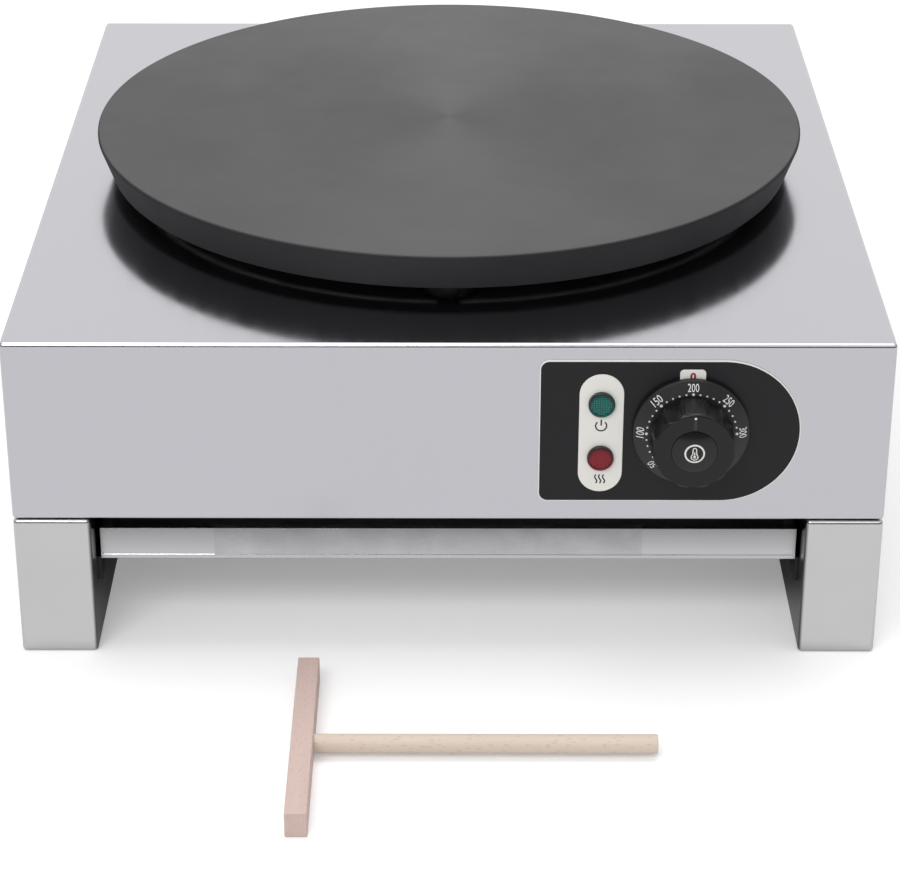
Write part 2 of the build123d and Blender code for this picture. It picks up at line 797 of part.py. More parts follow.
with BuildPart() as control_panel:
    with BuildSketch(front) as panel_outline:
        with Locations((panel_left + (panel_width - panel_end_radius) / 2, panel_middle)):
            Rectangle(panel_width - panel_end_radius, panel_height)
        left_corners = panel_outline.vertices().group_by(Axis.X)[0]
        fillet(left_corners, panel_corner)
        with Locations((panel_left + panel_width - panel_end_radius, panel_middle)):
            Circle(panel_end_radius)
        with Locations((knob_x, knob_level)):
            Circle(spindle_hole_radius, mode=Mode.SUBTRACT)
        with Locations(*thermostat_screw_places):
            Circle(thermostat_screw_radius + bolt_clearance, mode=Mode.SUBTRACT)
        with Locations(*lamp_places):
            Circle(lamp_radius + lamp_clearance, mode=Mode.SUBTRACT)
    extrude(amount=panel_sheet)
save(control_panel.part, "control_panel")

with BuildPart() as lamp_plate:
    with BuildSketch(panel_front):
        with Locations((lamp_x, casing_bottom + lamp_plate_rise)):
            SlotOverall(lamp_plate_height, lamp_plate_width, rotation=90)
        with Locations(*lamp_places):
            Circle(lamp_radius + lamp_clearance, mode=Mode.SUBTRACT)
    extrude(amount=lamp_plate_sheet)
save(lamp_plate.part, "lamp_plate")

tab_top = knob_level + dial_radius + tab_show
with BuildPart() as index_tab:
    with BuildSketch(panel_front):
        with Locations((knob_x, tab_top - tab_height / 2)):
            RectangleRounded(tab_width, tab_height, tab_corner)
    extrude(amount=tab_sheet)
save(index_tab.part, "index_tab")

lamp_face = Plane.XZ.offset(panel_face + lamp_plate_sheet)


def make_lens(level):
    """A lamp's lens: a round cup with a raised wall round its face."""
    section = Plane(origin=(lamp_x, lamp_face.origin.Y, level), x_dir=(1, 0, 0), z_dir=(0, 0, -1))
    face_radius = lens_radius - lens_wall
    with BuildPart() as lens:
        with BuildSketch(section) as profile:
            with BuildLine():
                Polyline(
                    (0, 0), (lens_radius, 0), (lens_radius, lens_height), (face_radius, lens_height),
                    (face_radius, lens_height - lens_recess), (0, lens_height - lens_recess), close=True,
                )
            make_face()
            fillet(profile.vertices().sort_by_distance((lens_radius, lens_height))[0], lens_edge)
        revolve(axis=Axis(section.origin, (0, -1, 0)))
    return lens.part


def make_lamp_body(level):
    """The lamp behind a lens: a barrel through the panel and the casing."""
    return rods(lamp_face, [(lamp_x, level)], lamp_radius, -lamp_length)


for lamp, level in lamp_levels.items():
    save(make_lens(level), f"{lamp}_lamp_lens")
    save(make_lamp_body(level), f"{lamp}_lamp_body")

with BuildPart() as lamp_nuts:
    with BuildSketch(front_inside):
        with Locations(*lamp_places):
            Circle(lamp_nut_radius)
            Circle(lamp_radius, mode=Mode.SUBTRACT)
    extrude(amount=-lamp_nut_height)
save(lamp_nuts.part, "lamp_nuts")

# ================================================================ knob
# The dial is a hollow disc. The fluted grip sits on it, and its hub reaches through to the spindle.

knob_section = Plane(origin=(knob_x, -panel_face, knob_level), x_dir=(1, 0, 0), z_dir=(0, 0, -1))
knob_axis = Axis(knob_section.origin, (0, -1, 0))
knob_centre = [(knob_x, knob_level)]


def knob_plane(height):
    """A plane across the knob's axis, at a height above the panel."""
    return Plane.XZ.offset(panel_face + height)


dial_hole = hub_radius + hub_clearance
with BuildPart() as knob_dial:
    with BuildSketch(knob_section):
        with BuildLine():
            Polyline(
                (dial_hole, dial_underside), (dial_radius - dial_lip, dial_underside),
                (dial_radius - dial_lip, dial_standoff), (dial_radius, dial_standoff),
                (dial_radius, dial_rim_face), (dial_flat_radius, dial_face), (dial_hole, dial_face),
                close=True,
            )
        make_face()
    revolve(axis=knob_axis)
save(knob_dial.part, "knob_dial")

with BuildPart() as knob_grip:
    with BuildSketch(knob_section) as grip_profile:
        with BuildLine():
            Polyline(
                (0, dial_face), (grip_base_radius, dial_face), (grip_radius, grip_face),
                (cap_radius + cap_clearance, grip_face), (cap_radius + cap_clearance, grip_face - cap_recess),
                (0, grip_face - cap_recess), close=True,
            )
        make_face()
        fillet(grip_profile.vertices().sort_by_distance((grip_radius, grip_face))[0], grip_edge)
    revolve(axis=knob_axis)
    # finger flutes all round, but none under the pointer at the top
    flute_pitch = 360 / flute_count
    with BuildSketch(knob_plane(dial_face)):
        with Locations(*knob_centre):
            with PolarLocations(
                grip_base_radius + flute_radius - flute_depth, flute_count - 1,
                start_angle=90 + flute_pitch, angular_range=360 - 2 * flute_pitch, endpoint=True,
            ):
                Circle(flute_radius)
    extrude(amount=grip_face - dial_face, mode=Mode.SUBTRACT)
    # the pointer: a rib along the top with a groove on the face
    pointer_top = grip_base_radius + pointer_stand
    with BuildSketch(knob_plane(dial_face)):
        with Locations((knob_x, knob_level + (pointer_root + pointer_top) / 2)):
            Rectangle(pointer_width, pointer_top - pointer_root)
    extrude(amount=grip_face - pointer_step - dial_face)
    # hollow behind the face, with a hub and four webs left standing
    cavity_radius = grip_radius - flute_depth - grip_wall
    with BuildSketch(knob_plane(dial_face)):
        with Locations(*knob_centre):
            Circle(cavity_radius)
            Circle(hub_radius, mode=Mode.SUBTRACT)
            Rectangle(2 * cavity_radius, web_sheet, mode=Mode.SUBTRACT)
            Rectangle(web_sheet, 2 * cavity_radius, mode=Mode.SUBTRACT)
    extrude(amount=grip_face - cap_recess - grip_skin - dial_face, mode=Mode.SUBTRACT)
    with BuildSketch(knob_plane(hub_start)):
        with Locations(*knob_centre):
            Circle(hub_radius)
    extrude(amount=dial_face - hub_start)
    # the hub's bore, with a flat that matches the spindle's
    with BuildSketch(knob_plane(hub_start)) as bore_outline:
        with Locations(*knob_centre):
            Circle(spindle_radius + spindle_fit)
        with Locations((knob_x, knob_level + spindle_flat + spindle_fit + spindle_radius)):
            Rectangle(2 * hub_radius, 2 * spindle_radius, mode=Mode.SUBTRACT)
    extrude(amount=spindle_out - hub_start + spindle_fit, mode=Mode.SUBTRACT)
    groove_length = grip_radius - cap_radius
    with BuildSketch(knob_plane(grip_face)):
        with Locations((knob_x, knob_level + cap_radius + cap_clearance + groove_length / 2)):
            Rectangle(groove_width, groove_length)
    extrude(amount=-groove_depth, mode=Mode.SUBTRACT)
save(knob_grip.part, "knob_grip")

dome_rise = cap_dome - cap_edge
dome_sphere = (cap_radius ** 2 + dome_rise ** 2) / (2 * dome_rise)
dome_share = cap_radius / 2
dome_half = cap_dome - dome_sphere + sqrt(dome_sphere ** 2 - dome_share ** 2)
with BuildPart() as knob_cap:
    with BuildSketch(knob_section):
        with BuildLine():
            Polyline(
                (0, grip_face + cap_dome), (0, grip_face - cap_recess), (cap_radius, grip_face - cap_recess),
                (cap_radius, grip_face + cap_edge),
            )
            ThreePointArc(
                (cap_radius, grip_face + cap_edge), (dome_share, grip_face + dome_half),
                (0, grip_face + cap_dome),
            )
        make_face()
    revolve(axis=knob_axis)
save(knob_cap.part, "knob_cap")

with BuildPart() as thermostat_spindle:
    with BuildSketch(knob_plane(hub_start)):
        with Locations(*knob_centre):
            Circle(spindle_radius)
        with Locations((knob_x, knob_level + spindle_flat + spindle_radius)):
            Rectangle(2 * hub_radius, 2 * spindle_radius, mode=Mode.SUBTRACT)
    extrude(amount=spindle_out - hub_start)
    spindle_back = panel_sheet + casing_sheet + bracket_sheet + spindle_depth
    with BuildSketch(knob_plane(hub_start)):
        with Locations(*knob_centre):
            Circle(spindle_radius)
    extrude(amount=-(hub_start + spindle_back))
save(thermostat_spindle.part, "thermostat_spindle")

# ================================================================ thermostat behind the front wall

bracket_back = Plane.XZ.offset(half_depth - casing_sheet - bracket_sheet)
with BuildPart() as thermostat_bracket:
    with BuildSketch(front_inside):
        with Locations(*knob_centre):
            RectangleRounded(bracket_width, bracket_height, thermostat_corner)
            Circle(spindle_hole_radius, mode=Mode.SUBTRACT)
        with Locations(*thermostat_screw_places):
            Circle(thermostat_screw_radius, mode=Mode.SUBTRACT)
    extrude(amount=-bracket_sheet)
save(thermostat_bracket.part, "thermostat_bracket")

with BuildPart() as thermostat_body:
    with BuildSketch(bracket_back):
        with Locations(*knob_centre):
            RectangleRounded(thermostat_width, thermostat_height, thermostat_corner)
    extrude(amount=-thermostat_depth)
    with BuildSketch(bracket_back):
        with Locations(*knob_centre):
            Circle(spindle_radius + spindle_running_fit)
        with Locations(*thermostat_screw_places):
            Circle(thermostat_screw_radius + bolt_clearance)
    extrude(amount=-spindle_well, mode=Mode.SUBTRACT)
save(thermostat_body.part, "thermostat_body")

thermostat_screw_length = panel_sheet + casing_sheet + bracket_sheet + thermostat_screw_tip
thermostat_screws = pan_screws(
    panel_front, thermostat_screw_places, thermostat_screw_radius, thermostat_screw_head,
    thermostat_screw_length,
)
save(thermostat_screws, "thermostat_screws")

thermostat_rear = half_depth - casing_sheet - bracket_sheet - thermostat_depth
tab_terminal_places = [(knob_x + side * tab_terminal_distance, knob_level) for side in (-1, 1)]
with BuildPart() as thermostat_tabs:
    with BuildSketch(Plane.XZ.offset(thermostat_rear)):
        with Locations(*tab_terminal_places):
            Rectangle(tab_terminal_sheet, tab_terminal_width)
    extrude(amount=-tab_terminal_length)
save(thermostat_tabs.part, "thermostat_tabs")

# ================================================================ sensor bulb and its tube

sensor_bulb = rods(
    Plane.XZ.offset(pocket_length / 2), [(clamp_circle_radius, bulb_level)], bulb_radius, -bulb_length,
)
save(sensor_bulb, "sensor_bulb")

capillary_down = casing_ceiling - 2 * capillary_sweep
capillary_level = knob_level + thermostat_height / 4
capillary_points = [
    (clamp_circle_radius, -pocket_length / 2, bulb_level),
    (clamp_circle_radius, capillary_exit[1], bulb_level),
    (clamp_circle_radius, capillary_exit[1], capillary_down),
    (knob_x, capillary_exit[1] - 3 * capillary_sweep, capillary_level),
    (knob_x, -thermostat_rear, capillary_level),
]
capillary_tube = bent_wire(
    capillary_points, capillary_radius, [capillary_bend, capillary_sweep, capillary_sweep],
)
save(capillary_tube, "capillary_tube")

with BuildPart() as capillary_grommet:
    with BuildSketch(Plane.XY.offset(casing_ceiling)):
        with Locations(capillary_exit):
            Circle(grommet_radius)
    extrude(amount=casing_sheet)
    with BuildSketch(Plane.XY.offset(casing_top)):
        with Locations(capillary_exit):
            Circle(grommet_radius + grommet_flange)
    extrude(amount=grommet_flange)
    with BuildSketch(Plane.XY.offset(casing_ceiling)):
        with Locations(capillary_exit):
            Circle(grommet_radius + grommet_flange)
    extrude(amount=-grommet_flange)
    with BuildSketch(Plane.XY.offset(casing_ceiling - grommet_flange)):
        with Locations(capillary_exit):
            Circle(capillary_radius)
    extrude(amount=casing_sheet + 2 * grommet_flange, mode=Mode.SUBTRACT)
save(capillary_grommet.part, "capillary_grommet")

# ================================================================ terminal block and wires

block_pitch = block_width / (block_ways + 1)
block_top = casing_bottom + block_height
block_level = casing_bottom + block_height / 2
with BuildPart() as terminal_block:
    with BuildSketch(Plane.XY.offset(casing_bottom)):
        with Locations((block_x, block_middle_y)):
            Rectangle(block_width, block_depth)
        with Locations(*block_screw_places):
            Circle(block_screw_radius + block_screw_clearance, mode=Mode.SUBTRACT)
    extrude(amount=block_height)
    with BuildSketch(Plane.XZ.offset(block_depth / 2 - block_middle_y)):
        with Locations((block_x, block_level)):
            with GridLocations(block_pitch, 0, block_ways, 1):
                Circle(wire_radius + wire_clearance)
    extrude(amount=-block_depth, mode=Mode.SUBTRACT)
save(terminal_block.part, "terminal_block")

terminal_block_screws = pan_screws(
    Plane.XY.offset(block_top), block_screw_places, block_screw_radius, block_screw_head,
    block_height + bottom_sheet,
)
save(terminal_block_screws, "terminal_block_screws")

block_front_y = block_middle_y - block_depth / 2
tab_end_y = tab_terminal_length - thermostat_rear
terminal_bottom = element_bottom - terminal_length
wire_level = (block_level + terminal_bottom) / 2 + wire_bend / 2
left_tab_x, right_tab_x = [x for x, level in tab_terminal_places]


def way_start(way, run):
    """The first two points of a wire: inside a way of the terminal block, and a run in front of it."""
    x = block_x + way * block_pitch
    return [(x, block_front_y + wire_insert, block_level), (x, block_front_y - run, block_level)]


# terminal block to the element's outer end, thermostat to its inner end, terminal block to thermostat
heater_wire = bent_wire(
    way_start(0, 2 * wire_bend) + [
        (block_x / 2, ring_exit - 2 * wire_bend, wire_level),
        (0, ring_exit, wire_level),
        (0, ring_exit, terminal_bottom),
    ],
    wire_radius, [wire_bend, wire_bend, wire_bend / 2],
)
save(heater_wire, "heater_wire")

thermostat_wire = bent_wire(
    [
        (left_tab_x, tab_end_y, knob_level),
        (left_tab_x, tab_end_y + 3 * wire_bend, knob_level),
        (left_tab_x / 2, 0, wire_level),
        (0, inner_exit, wire_level),
        (0, inner_exit, terminal_bottom),
    ],
    wire_radius, [wire_bend, wire_bend, wire_bend / 2],
)
save(thermostat_wire, "thermostat_wire")

feed_wire = bent_wire(
    way_start(1, 4 * wire_bend) + [
        (0, -half_depth / 3, block_level),
        (right_tab_x, tab_end_y + 4 * wire_bend, knob_level),
        (right_tab_x, tab_end_y, knob_level),
    ],
    wire_radius, [wire_bend, 2 * wire_bend, wire_bend],
)
save(feed_wire, "feed_wire")

# each lamp's wire, from its own way of the terminal block
lamp_rear_y = lamp_length - panel_face - lamp_plate_sheet
lamp_ways = {"power": 2, "heat": -1}
lamp_wire_middles = {"power": (half_width / 8, -half_depth / 4), "heat": (-half_width / 12, -half_depth / 2)}
for lamp, level in lamp_levels.items():
    middle_x, middle_y = lamp_wire_middles[lamp]
    lamp_wire = bent_wire(
        way_start(lamp_ways[lamp], 4 * wire_bend) + [
            (middle_x, middle_y, block_level + wire_bend),
            (lamp_x, lamp_rear_y + 2 * wire_bend, level),
            (lamp_x, lamp_rear_y, level),
        ],
        lamp_wire_radius, [wire_bend, wire_bend, wire_bend],
    )
    save(lamp_wire, f"{lamp}_lamp_wire")

# ================================================================ cable gland

with BuildPart() as cable_gland:
    with BuildSketch(back):
        with Locations(*gland_places):
            RegularPolygon(gland_flats / 2, 6, major_radius=False)
    extrude(amount=gland_flange)
    with BuildSketch(back):
        with Locations(*gland_places):
            Circle(gland_thread_radius)
    extrude(amount=-gland_thread_inside)
    with BuildSketch(back.offset(gland_flange)):
        with Locations(*gland_places):
            Circle(gland_bore_radius)
    extrude(amount=-(gland_flange + gland_thread_inside), mode=Mode.SUBTRACT)
save(cable_gland.part, "cable_gland")

gland_locknut = hex_nuts(
    back_inside, gland_places, locknut_flats, -locknut_height, gland_thread_radius,
)
save(gland_locknut, "gland_locknut")

with BuildPart() as gland_cap:
    with BuildSketch(back.offset(gland_flange)):
        with Locations(*gland_places):
            RegularPolygon(gland_cap_flats / 2, 6, major_radius=False)
    extrude(amount=gland_cap_hex)
    with BuildSketch(back.offset(gland_flange + gland_cap_hex)):
        with Locations(*gland_places):
            Circle(gland_nose_radius)
    extrude(amount=gland_cap_nose)
    nose = gland_cap.faces().sort_by(Axis.Y)[-1]
    fillet(nose.edges(), gland_cap_nose / 2)
    with BuildSketch(back.offset(gland_flange + gland_cap_hex + gland_cap_nose)):
        with Locations(*gland_places):
            Circle(cable_hole_radius)
    extrude(amount=-(gland_cap_hex + gland_cap_nose), mode=Mode.SUBTRACT)
save(gland_cap.part, "gland_cap")

# ================================================================ runners
# Angles riveted to the legs' inner walls: a shelf with a rounded front corner and a stop at the back.


def make_runner(side):
    """One runner: -1 is the left one, 1 the right one."""
    wall = side * leg_inner_wall
    shelf_middle = wall - side * runner_width / 2
    length = runner_back_y - runner_front_y
    middle_y = (runner_back_y + runner_front_y) / 2
    with BuildPart() as runner:
        with BuildSketch(Plane.XY.offset(runner_top - runner_sheet)) as shelf:
            with Locations((shelf_middle, middle_y)):
                Rectangle(runner_width, length)
            front_inner = (wall - side * runner_width, runner_front_y)
            fillet(shelf.vertices().sort_by_distance(front_inner)[0], runner_corner)
        extrude(amount=runner_sheet)
        with BuildSketch(Plane.XY.offset(runner_top)):
            with Locations((shelf_middle, stop_y + runner_sheet / 2)):
                Rectangle(runner_width, runner_sheet)
        extrude(amount=stop_height)
        with BuildSketch(Plane.XY.offset(runner_bottom)):
            with Locations((wall - side * runner_sheet / 2, middle_y)):
                Rectangle(runner_sheet, length)
        extrude(amount=runner_drop - runner_sheet)
        with BuildSketch(Plane.YZ.offset(wall)):
            with Locations(*rivet_places):
                Circle(rivet_radius)
        extrude(amount=-side * runner_sheet, mode=Mode.SUBTRACT)
    return runner.part


left_runner = make_runner(-1)
save(left_runner, "left_runner")
right_runner = make_runner(1)
save(right_runner, "right_runner")

with BuildPart() as runner_rivets:
    for side in (-1, 1):
        with BuildSketch(Plane.YZ.offset(side * (leg_inner_wall - runner_sheet))):
            with Locations(*rivet_places):
                Circle(rivet_radius)
        extrude(amount=side * (runner_sheet + leg_sheet))
        with BuildSketch(Plane.YZ.offset(side * (leg_inner_wall - runner_sheet))):
            with Locations(*rivet_places):
                Circle(rivet_head_radius)
        extrude(amount=-side * rivet_head, taper=rivet_taper)
save(runner_rivets.part, "runner_rivets")

# ================================================================ drawer
# An open tray, a front with a hem along its foot, and a pull strip hooked over the front's top edge.

drawer_width = 2 * (leg_inner_wall - drawer_side_gap)
drawer_top = drawer_bottom + drawer_height
tray_front_y = drawer_front_y + drawer_sheet
tray_depth = drawer_depth - drawer_sheet
tray_middle_y = tray_front_y + tray_depth / 2
drawer_rivet_places = [
    (drawer_rivet_distance * index, drawer_bottom + drawer_height / 2) for index in (-1, 0, 1)
]

with BuildPart() as drawer_tray:
    with BuildSketch(Plane.XY.offset(drawer_bottom)):
        with Locations((0, tray_middle_y)):
            Rectangle(drawer_width, tray_depth)
    extrude(amount=drawer_height)
    fillet(drawer_tray.faces().sort_by(Axis.Z)[0].edges(), drawer_corner)
    with BuildSketch(Plane.XY.offset(drawer_bottom + drawer_sheet)):
        with Locations((0, tray_middle_y)):
            Rectangle(drawer_width - 2 * drawer_sheet, tray_depth - 2 * drawer_sheet)
    extrude(amount=drawer_height - drawer_sheet, mode=Mode.SUBTRACT)
    with BuildSketch(Plane.XZ.offset(-tray_front_y)):
        with Locations(*drawer_rivet_places):
            Circle(rivet_radius)
    extrude(amount=-drawer_sheet, mode=Mode.SUBTRACT)
save(drawer_tray.part, "drawer_tray")

with BuildPart() as drawer_front:
    with BuildSketch(Plane.XY.offset(drawer_bottom)):
        with Locations((0, drawer_front_y + drawer_sheet / 2)):
            Rectangle(drawer_width, drawer_sheet)
    extrude(amount=drawer_height)
    with BuildSketch(Plane.YZ.offset(-drawer_width / 2)):
        with Locations((drawer_front_y, drawer_bottom + hem_height / 2)):
            SlotOverall(hem_height, 2 * hem_stand, rotation=90)
    extrude(amount=drawer_width)
    with BuildSketch(Plane.XZ.offset(-drawer_front_y)):
        with Locations(*drawer_rivet_places):
            Circle(rivet_radius)
    extrude(amount=-drawer_sheet, mode=Mode.SUBTRACT)
save(drawer_front.part, "drawer_front")

pull_width = pull_right - pull_left
pull_middle = (pull_left + pull_right) / 2
pull_bottom = drawer_bottom + hem_height
pull_front_y = drawer_front_y - pull_sheet
lip_back_y = drawer_front_y + pull_reach
with BuildPart() as drawer_pull:
    with BuildSketch(Plane.YZ.offset(pull_left)):
        with BuildLine():
            Polyline(
                (drawer_front_y, pull_bottom), (drawer_front_y, drawer_top), (lip_back_y, drawer_top),
                (lip_back_y, drawer_top + pull_lip), (pull_front_y, drawer_top + pull_lip),
                (pull_front_y, pull_bottom), close=True,
            )
        make_face()
    extrude(amount=pull_width)
save(drawer_pull.part, "drawer_pull")

drawer_rivets = rods(
    Plane.XZ.offset(-drawer_front_y), drawer_rivet_places, rivet_radius, -(2 * drawer_sheet + rivet_head),
)
save(drawer_rivets, "drawer_rivets")

# ================================================================ spreader
# A wooden T: a square bar with a dowel glued into a blind hole in its side. It lies on the counter.

spreader_y = -half_depth - spreader_gap
head_side = spreader_x + head_width / 2
handle_level = head_height / 2
handle_start = Plane(origin=(head_side - handle_socket, 0, 0), x_dir=(0, 1, 0), z_dir=(1, 0, 0))

with BuildPart() as spreader_head:
    with BuildSketch():
        with Locations((spreader_x, spreader_y)):
            Rectangle(head_width, head_length)
    extrude(amount=head_height)
    fillet(spreader_head.edges(), head_edge)
    with BuildSketch(handle_start):
        with Locations((spreader_y, handle_level)):
            Circle(handle_radius)
    extrude(amount=handle_socket, mode=Mode.SUBTRACT)
save(spreader_head.part, "spreader_head")

with BuildPart() as spreader_handle:
    with BuildSketch(handle_start):
        with Locations((spreader_y, handle_level)):
            Circle(handle_radius)
    extrude(amount=handle_socket + handle_length)
    fillet(spreader_handle.faces().sort_by(Axis.X)[-1].edges(), handle_edge)
save(spreader_handle.part, "spreader_handle")
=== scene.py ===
import bmesh
import bpy
import json
from math import cos, pi, radians, sin, tan, tau
from mathutils import Matrix, Vector


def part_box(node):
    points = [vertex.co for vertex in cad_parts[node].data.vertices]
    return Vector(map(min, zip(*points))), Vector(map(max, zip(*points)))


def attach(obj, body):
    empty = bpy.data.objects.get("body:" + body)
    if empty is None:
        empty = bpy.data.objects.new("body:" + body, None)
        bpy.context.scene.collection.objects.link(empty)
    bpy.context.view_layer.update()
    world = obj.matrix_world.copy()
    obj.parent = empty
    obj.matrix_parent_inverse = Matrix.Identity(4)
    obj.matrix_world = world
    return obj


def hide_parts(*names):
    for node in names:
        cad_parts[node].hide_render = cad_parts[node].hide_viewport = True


# An electric crepe maker: a cast griddle on three posts, a folded steel casing on two box legs,
# a control panel with two lamps and a fluted knob, a drawer, and a loose wooden spreader.
# Sizes are millimetres, also while a mesh is made. newPiece brings each mesh to metres.

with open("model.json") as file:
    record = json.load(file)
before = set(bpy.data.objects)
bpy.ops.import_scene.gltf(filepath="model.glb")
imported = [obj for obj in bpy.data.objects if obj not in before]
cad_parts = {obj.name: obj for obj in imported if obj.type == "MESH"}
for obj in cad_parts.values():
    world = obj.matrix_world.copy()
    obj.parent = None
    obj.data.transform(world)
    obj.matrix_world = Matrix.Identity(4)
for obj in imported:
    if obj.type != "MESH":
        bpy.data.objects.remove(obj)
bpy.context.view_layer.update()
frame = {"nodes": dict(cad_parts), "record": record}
mm = 0.001
collection = bpy.context.scene.collection


def nodeBox(node):
    low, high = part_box(node)
    return low / mm, high / mm


# camera, floor and light

view = {
    "place": (2.5, -1509.3, 781.4),
    "down": 27.405,      # degrees below the horizon
    "turn": 0.069,
    "roll": 0.048,
    "lens": 112.02,
    "sensor": 36.0,
    "clipEnd": 60,
}

studio = {
    "floorSize": 12.0,               # metres
    "floorColour": "e8e8e8",
    "floorGlow": 0.27,               # what the floor adds for the camera, so that it reads as white
    "floorMirror": 0.97,             # how bright metal sees the floor
    "floorEven": 0.9,                # how far shadows fade in that view, in front of the machine
    "evenEdge": (-0.256, -0.247),    # where that part of the floor ends, metres
    "skyLight": 0.62,
    "skySeen": 1.0,
    "frontDark": 0.12,               # how bright the room in front of the machine is in reflections
    "sideDark": 0.4,                 # and the room beside it
    "aheadEdge": (-0.75, -0.35),     # directions between which those rooms fade out
    "lowEdge": (0.42, 0.62),
    "besideEdge": (0.4, 0.75),
    "lamps": {
        "overhead": {"place": (0.0, 0.15, 1.9), "aim": (0, 0, 0.1), "size": (1.5, 1.3), "power": 17},
        "fill": {"place": (-0.7, -1.9, 1.9), "aim": (0, 0, 0.1), "size": (1.3, 0.9), "power": 22},
    },
}


def paint(code):
    # a colour as it looks on screen, in the linear values that a shader takes
    shares = [int(code[k:k + 2], 16) / 255 for k in (0, 2, 4)]
    return [s / 12.92 if s <= 0.04045 else ((s + 0.055) / 1.055) ** 2.4 for s in shares] + [1.0]


def put(tree, kind, inputs=None, **settings):
    # a new node, with its settings and its inputs, which are values or other nodes' outputs
    node = tree.nodes.new(kind)
    for name, value in settings.items():
        setattr(node, name, value)
    for key, value in (inputs or {}).items():
        if isinstance(value, bpy.types.NodeSocket):
            tree.links.new(value, node.inputs[key])
        else:
            node.inputs[key].default_value = value
    return node


def calc(tree, operation, *values):
    return put(tree, "ShaderNodeMath", dict(enumerate(values)), operation=operation).outputs[0]


def spread(tree, value, low, high, fromLow=0.0, fromHigh=1.0, kind="LINEAR"):
    inputs = {"Value": value, "From Min": fromLow, "From Max": fromHigh, "To Min": low, "To Max": high}
    return put(tree, "ShaderNodeMapRange", inputs, interpolation_type=kind).outputs[0]


def blendColour(tree, share, first, second):
    return put(tree, "ShaderNodeMix", {0: share, 6: first, 7: second}, data_type="RGBA").outputs[2]


def vectorCalc(tree, operation, output, *values):
    return put(tree, "ShaderNodeVectorMath", dict(enumerate(values)), operation=operation).outputs[output]


def split(tree, vector):
    return put(tree, "ShaderNodeSeparateXYZ", {0: vector}).outputs


def combined(tree, x, y, z):
    return put(tree, "ShaderNodeCombineXYZ", {0: x, 1: y, 2: z}).outputs[0]


def coordinates(tree, kind="Object"):
    return put(tree, "ShaderNodeTexCoord").outputs[kind]


def blended(tree, first, second, share):
    # a share of the first value, and the rest of the second
    return calc(tree, "ADD", calc(tree, "MULTIPLY", first, share), calc(tree, "MULTIPLY", second, 1 - share))


def addCamera():
    camera = bpy.data.objects.new("camera", bpy.data.cameras.new("camera"))
    camera.data.lens = view["lens"]
    camera.data.sensor_width = view["sensor"]
    camera.data.sensor_fit = "HORIZONTAL"
    camera.data.clip_end = view["clipEnd"]
    camera.matrix_world = (
        Matrix.Translation(Vector(view["place"]) * mm)
        @ Matrix.Rotation(radians(view["turn"]), 4, "Z")
        @ Matrix.Rotation(radians(90 - view["down"]), 4, "X")
        @ Matrix.Rotation(radians(view["roll"]), 4, "Z")
    )
    collection.objects.link(camera)
    bpy.context.scene.camera = camera


def addFloor():
    half = studio["floorSize"] / 2
    mesh = bpy.data.meshes.new("floor")
    corners = [(-half, -half, 0), (half, -half, 0), (half, half, 0), (-half, half, 0)]
    mesh.from_pydata(corners, [], [(0, 1, 2, 3)])
    floor = bpy.data.objects.new("floor", mesh)
    collection.objects.link(floor)
    material = bpy.data.materials.new("floorPaper")
    material.use_nodes = True
    tree = material.node_tree
    tree.nodes.clear()
    ray = put(tree, "ShaderNodeLightPath").outputs
    seen = calc(tree, "MAXIMUM", ray["Is Camera Ray"], ray["Is Transmission Ray"])
    paper = put(tree, "ShaderNodeBsdfDiffuse", {"Color": paint(studio["floorColour"])})
    glow = put(tree, "ShaderNodeEmission", {"Strength": calc(tree, "MULTIPLY", seen, studio["floorGlow"])})
    both = put(tree, "ShaderNodeAddShader", {0: paper.outputs[0], 1: glow.outputs[0]})
    even = put(tree, "ShaderNodeEmission", {"Strength": studio["floorMirror"]})
    ahead = spread(tree, split(tree, coordinates(tree))["Y"], studio["floorEven"], 0, *studio["evenEdge"])
    share = calc(tree, "MULTIPLY", ray["Is Glossy Ray"], ahead)
    mixed = put(tree, "ShaderNodeMixShader", {0: share, 1: both.outputs[0], 2: even.outputs[0]})
    put(tree, "ShaderNodeOutputMaterial", {"Surface": mixed.outputs[0]})
    mesh.materials.append(material)


def addSky():
    world = bpy.data.worlds.new("studio")
    bpy.context.scene.world = world
    world.use_nodes = True
    tree = world.node_tree
    tree.nodes.clear()
    ray = put(tree, "ShaderNodeLightPath").outputs
    clear = calc(tree, "MAXIMUM", ray["Is Camera Ray"], ray["Is Transmission Ray"])
    seen = calc(tree, "MAXIMUM", clear, ray["Is Glossy Ray"])
    axes = split(tree, coordinates(tree, "Generated"))
    # reflections see a darker room low in front of the machine and beside it
    ahead = spread(tree, axes["Y"], 1, 0, *studio["aheadEdge"], "SMOOTHSTEP")
    lowDown = spread(tree, axes["Z"], 1, 0, *studio["lowEdge"], "SMOOTHSTEP")
    beside = spread(tree, calc(tree, "ABSOLUTE", axes["X"]), 0, 1, *studio["besideEdge"], "SMOOTHSTEP")
    level = spread(tree, seen, studio["skyLight"], studio["skySeen"])
    for zone, share in ((ahead, studio["frontDark"]), (beside, studio["sideDark"])):
        dark = calc(tree, "MULTIPLY", calc(tree, "MULTIPLY", zone, lowDown), ray["Is Glossy Ray"])
        level = calc(tree, "MULTIPLY", level, spread(tree, dark, 1, share))
    sky = put(tree, "ShaderNodeBackground", {"Color": (1, 1, 1, 1), "Strength": level})
    put(tree, "ShaderNodeOutputWorld", {"Surface": sky.outputs[0]})


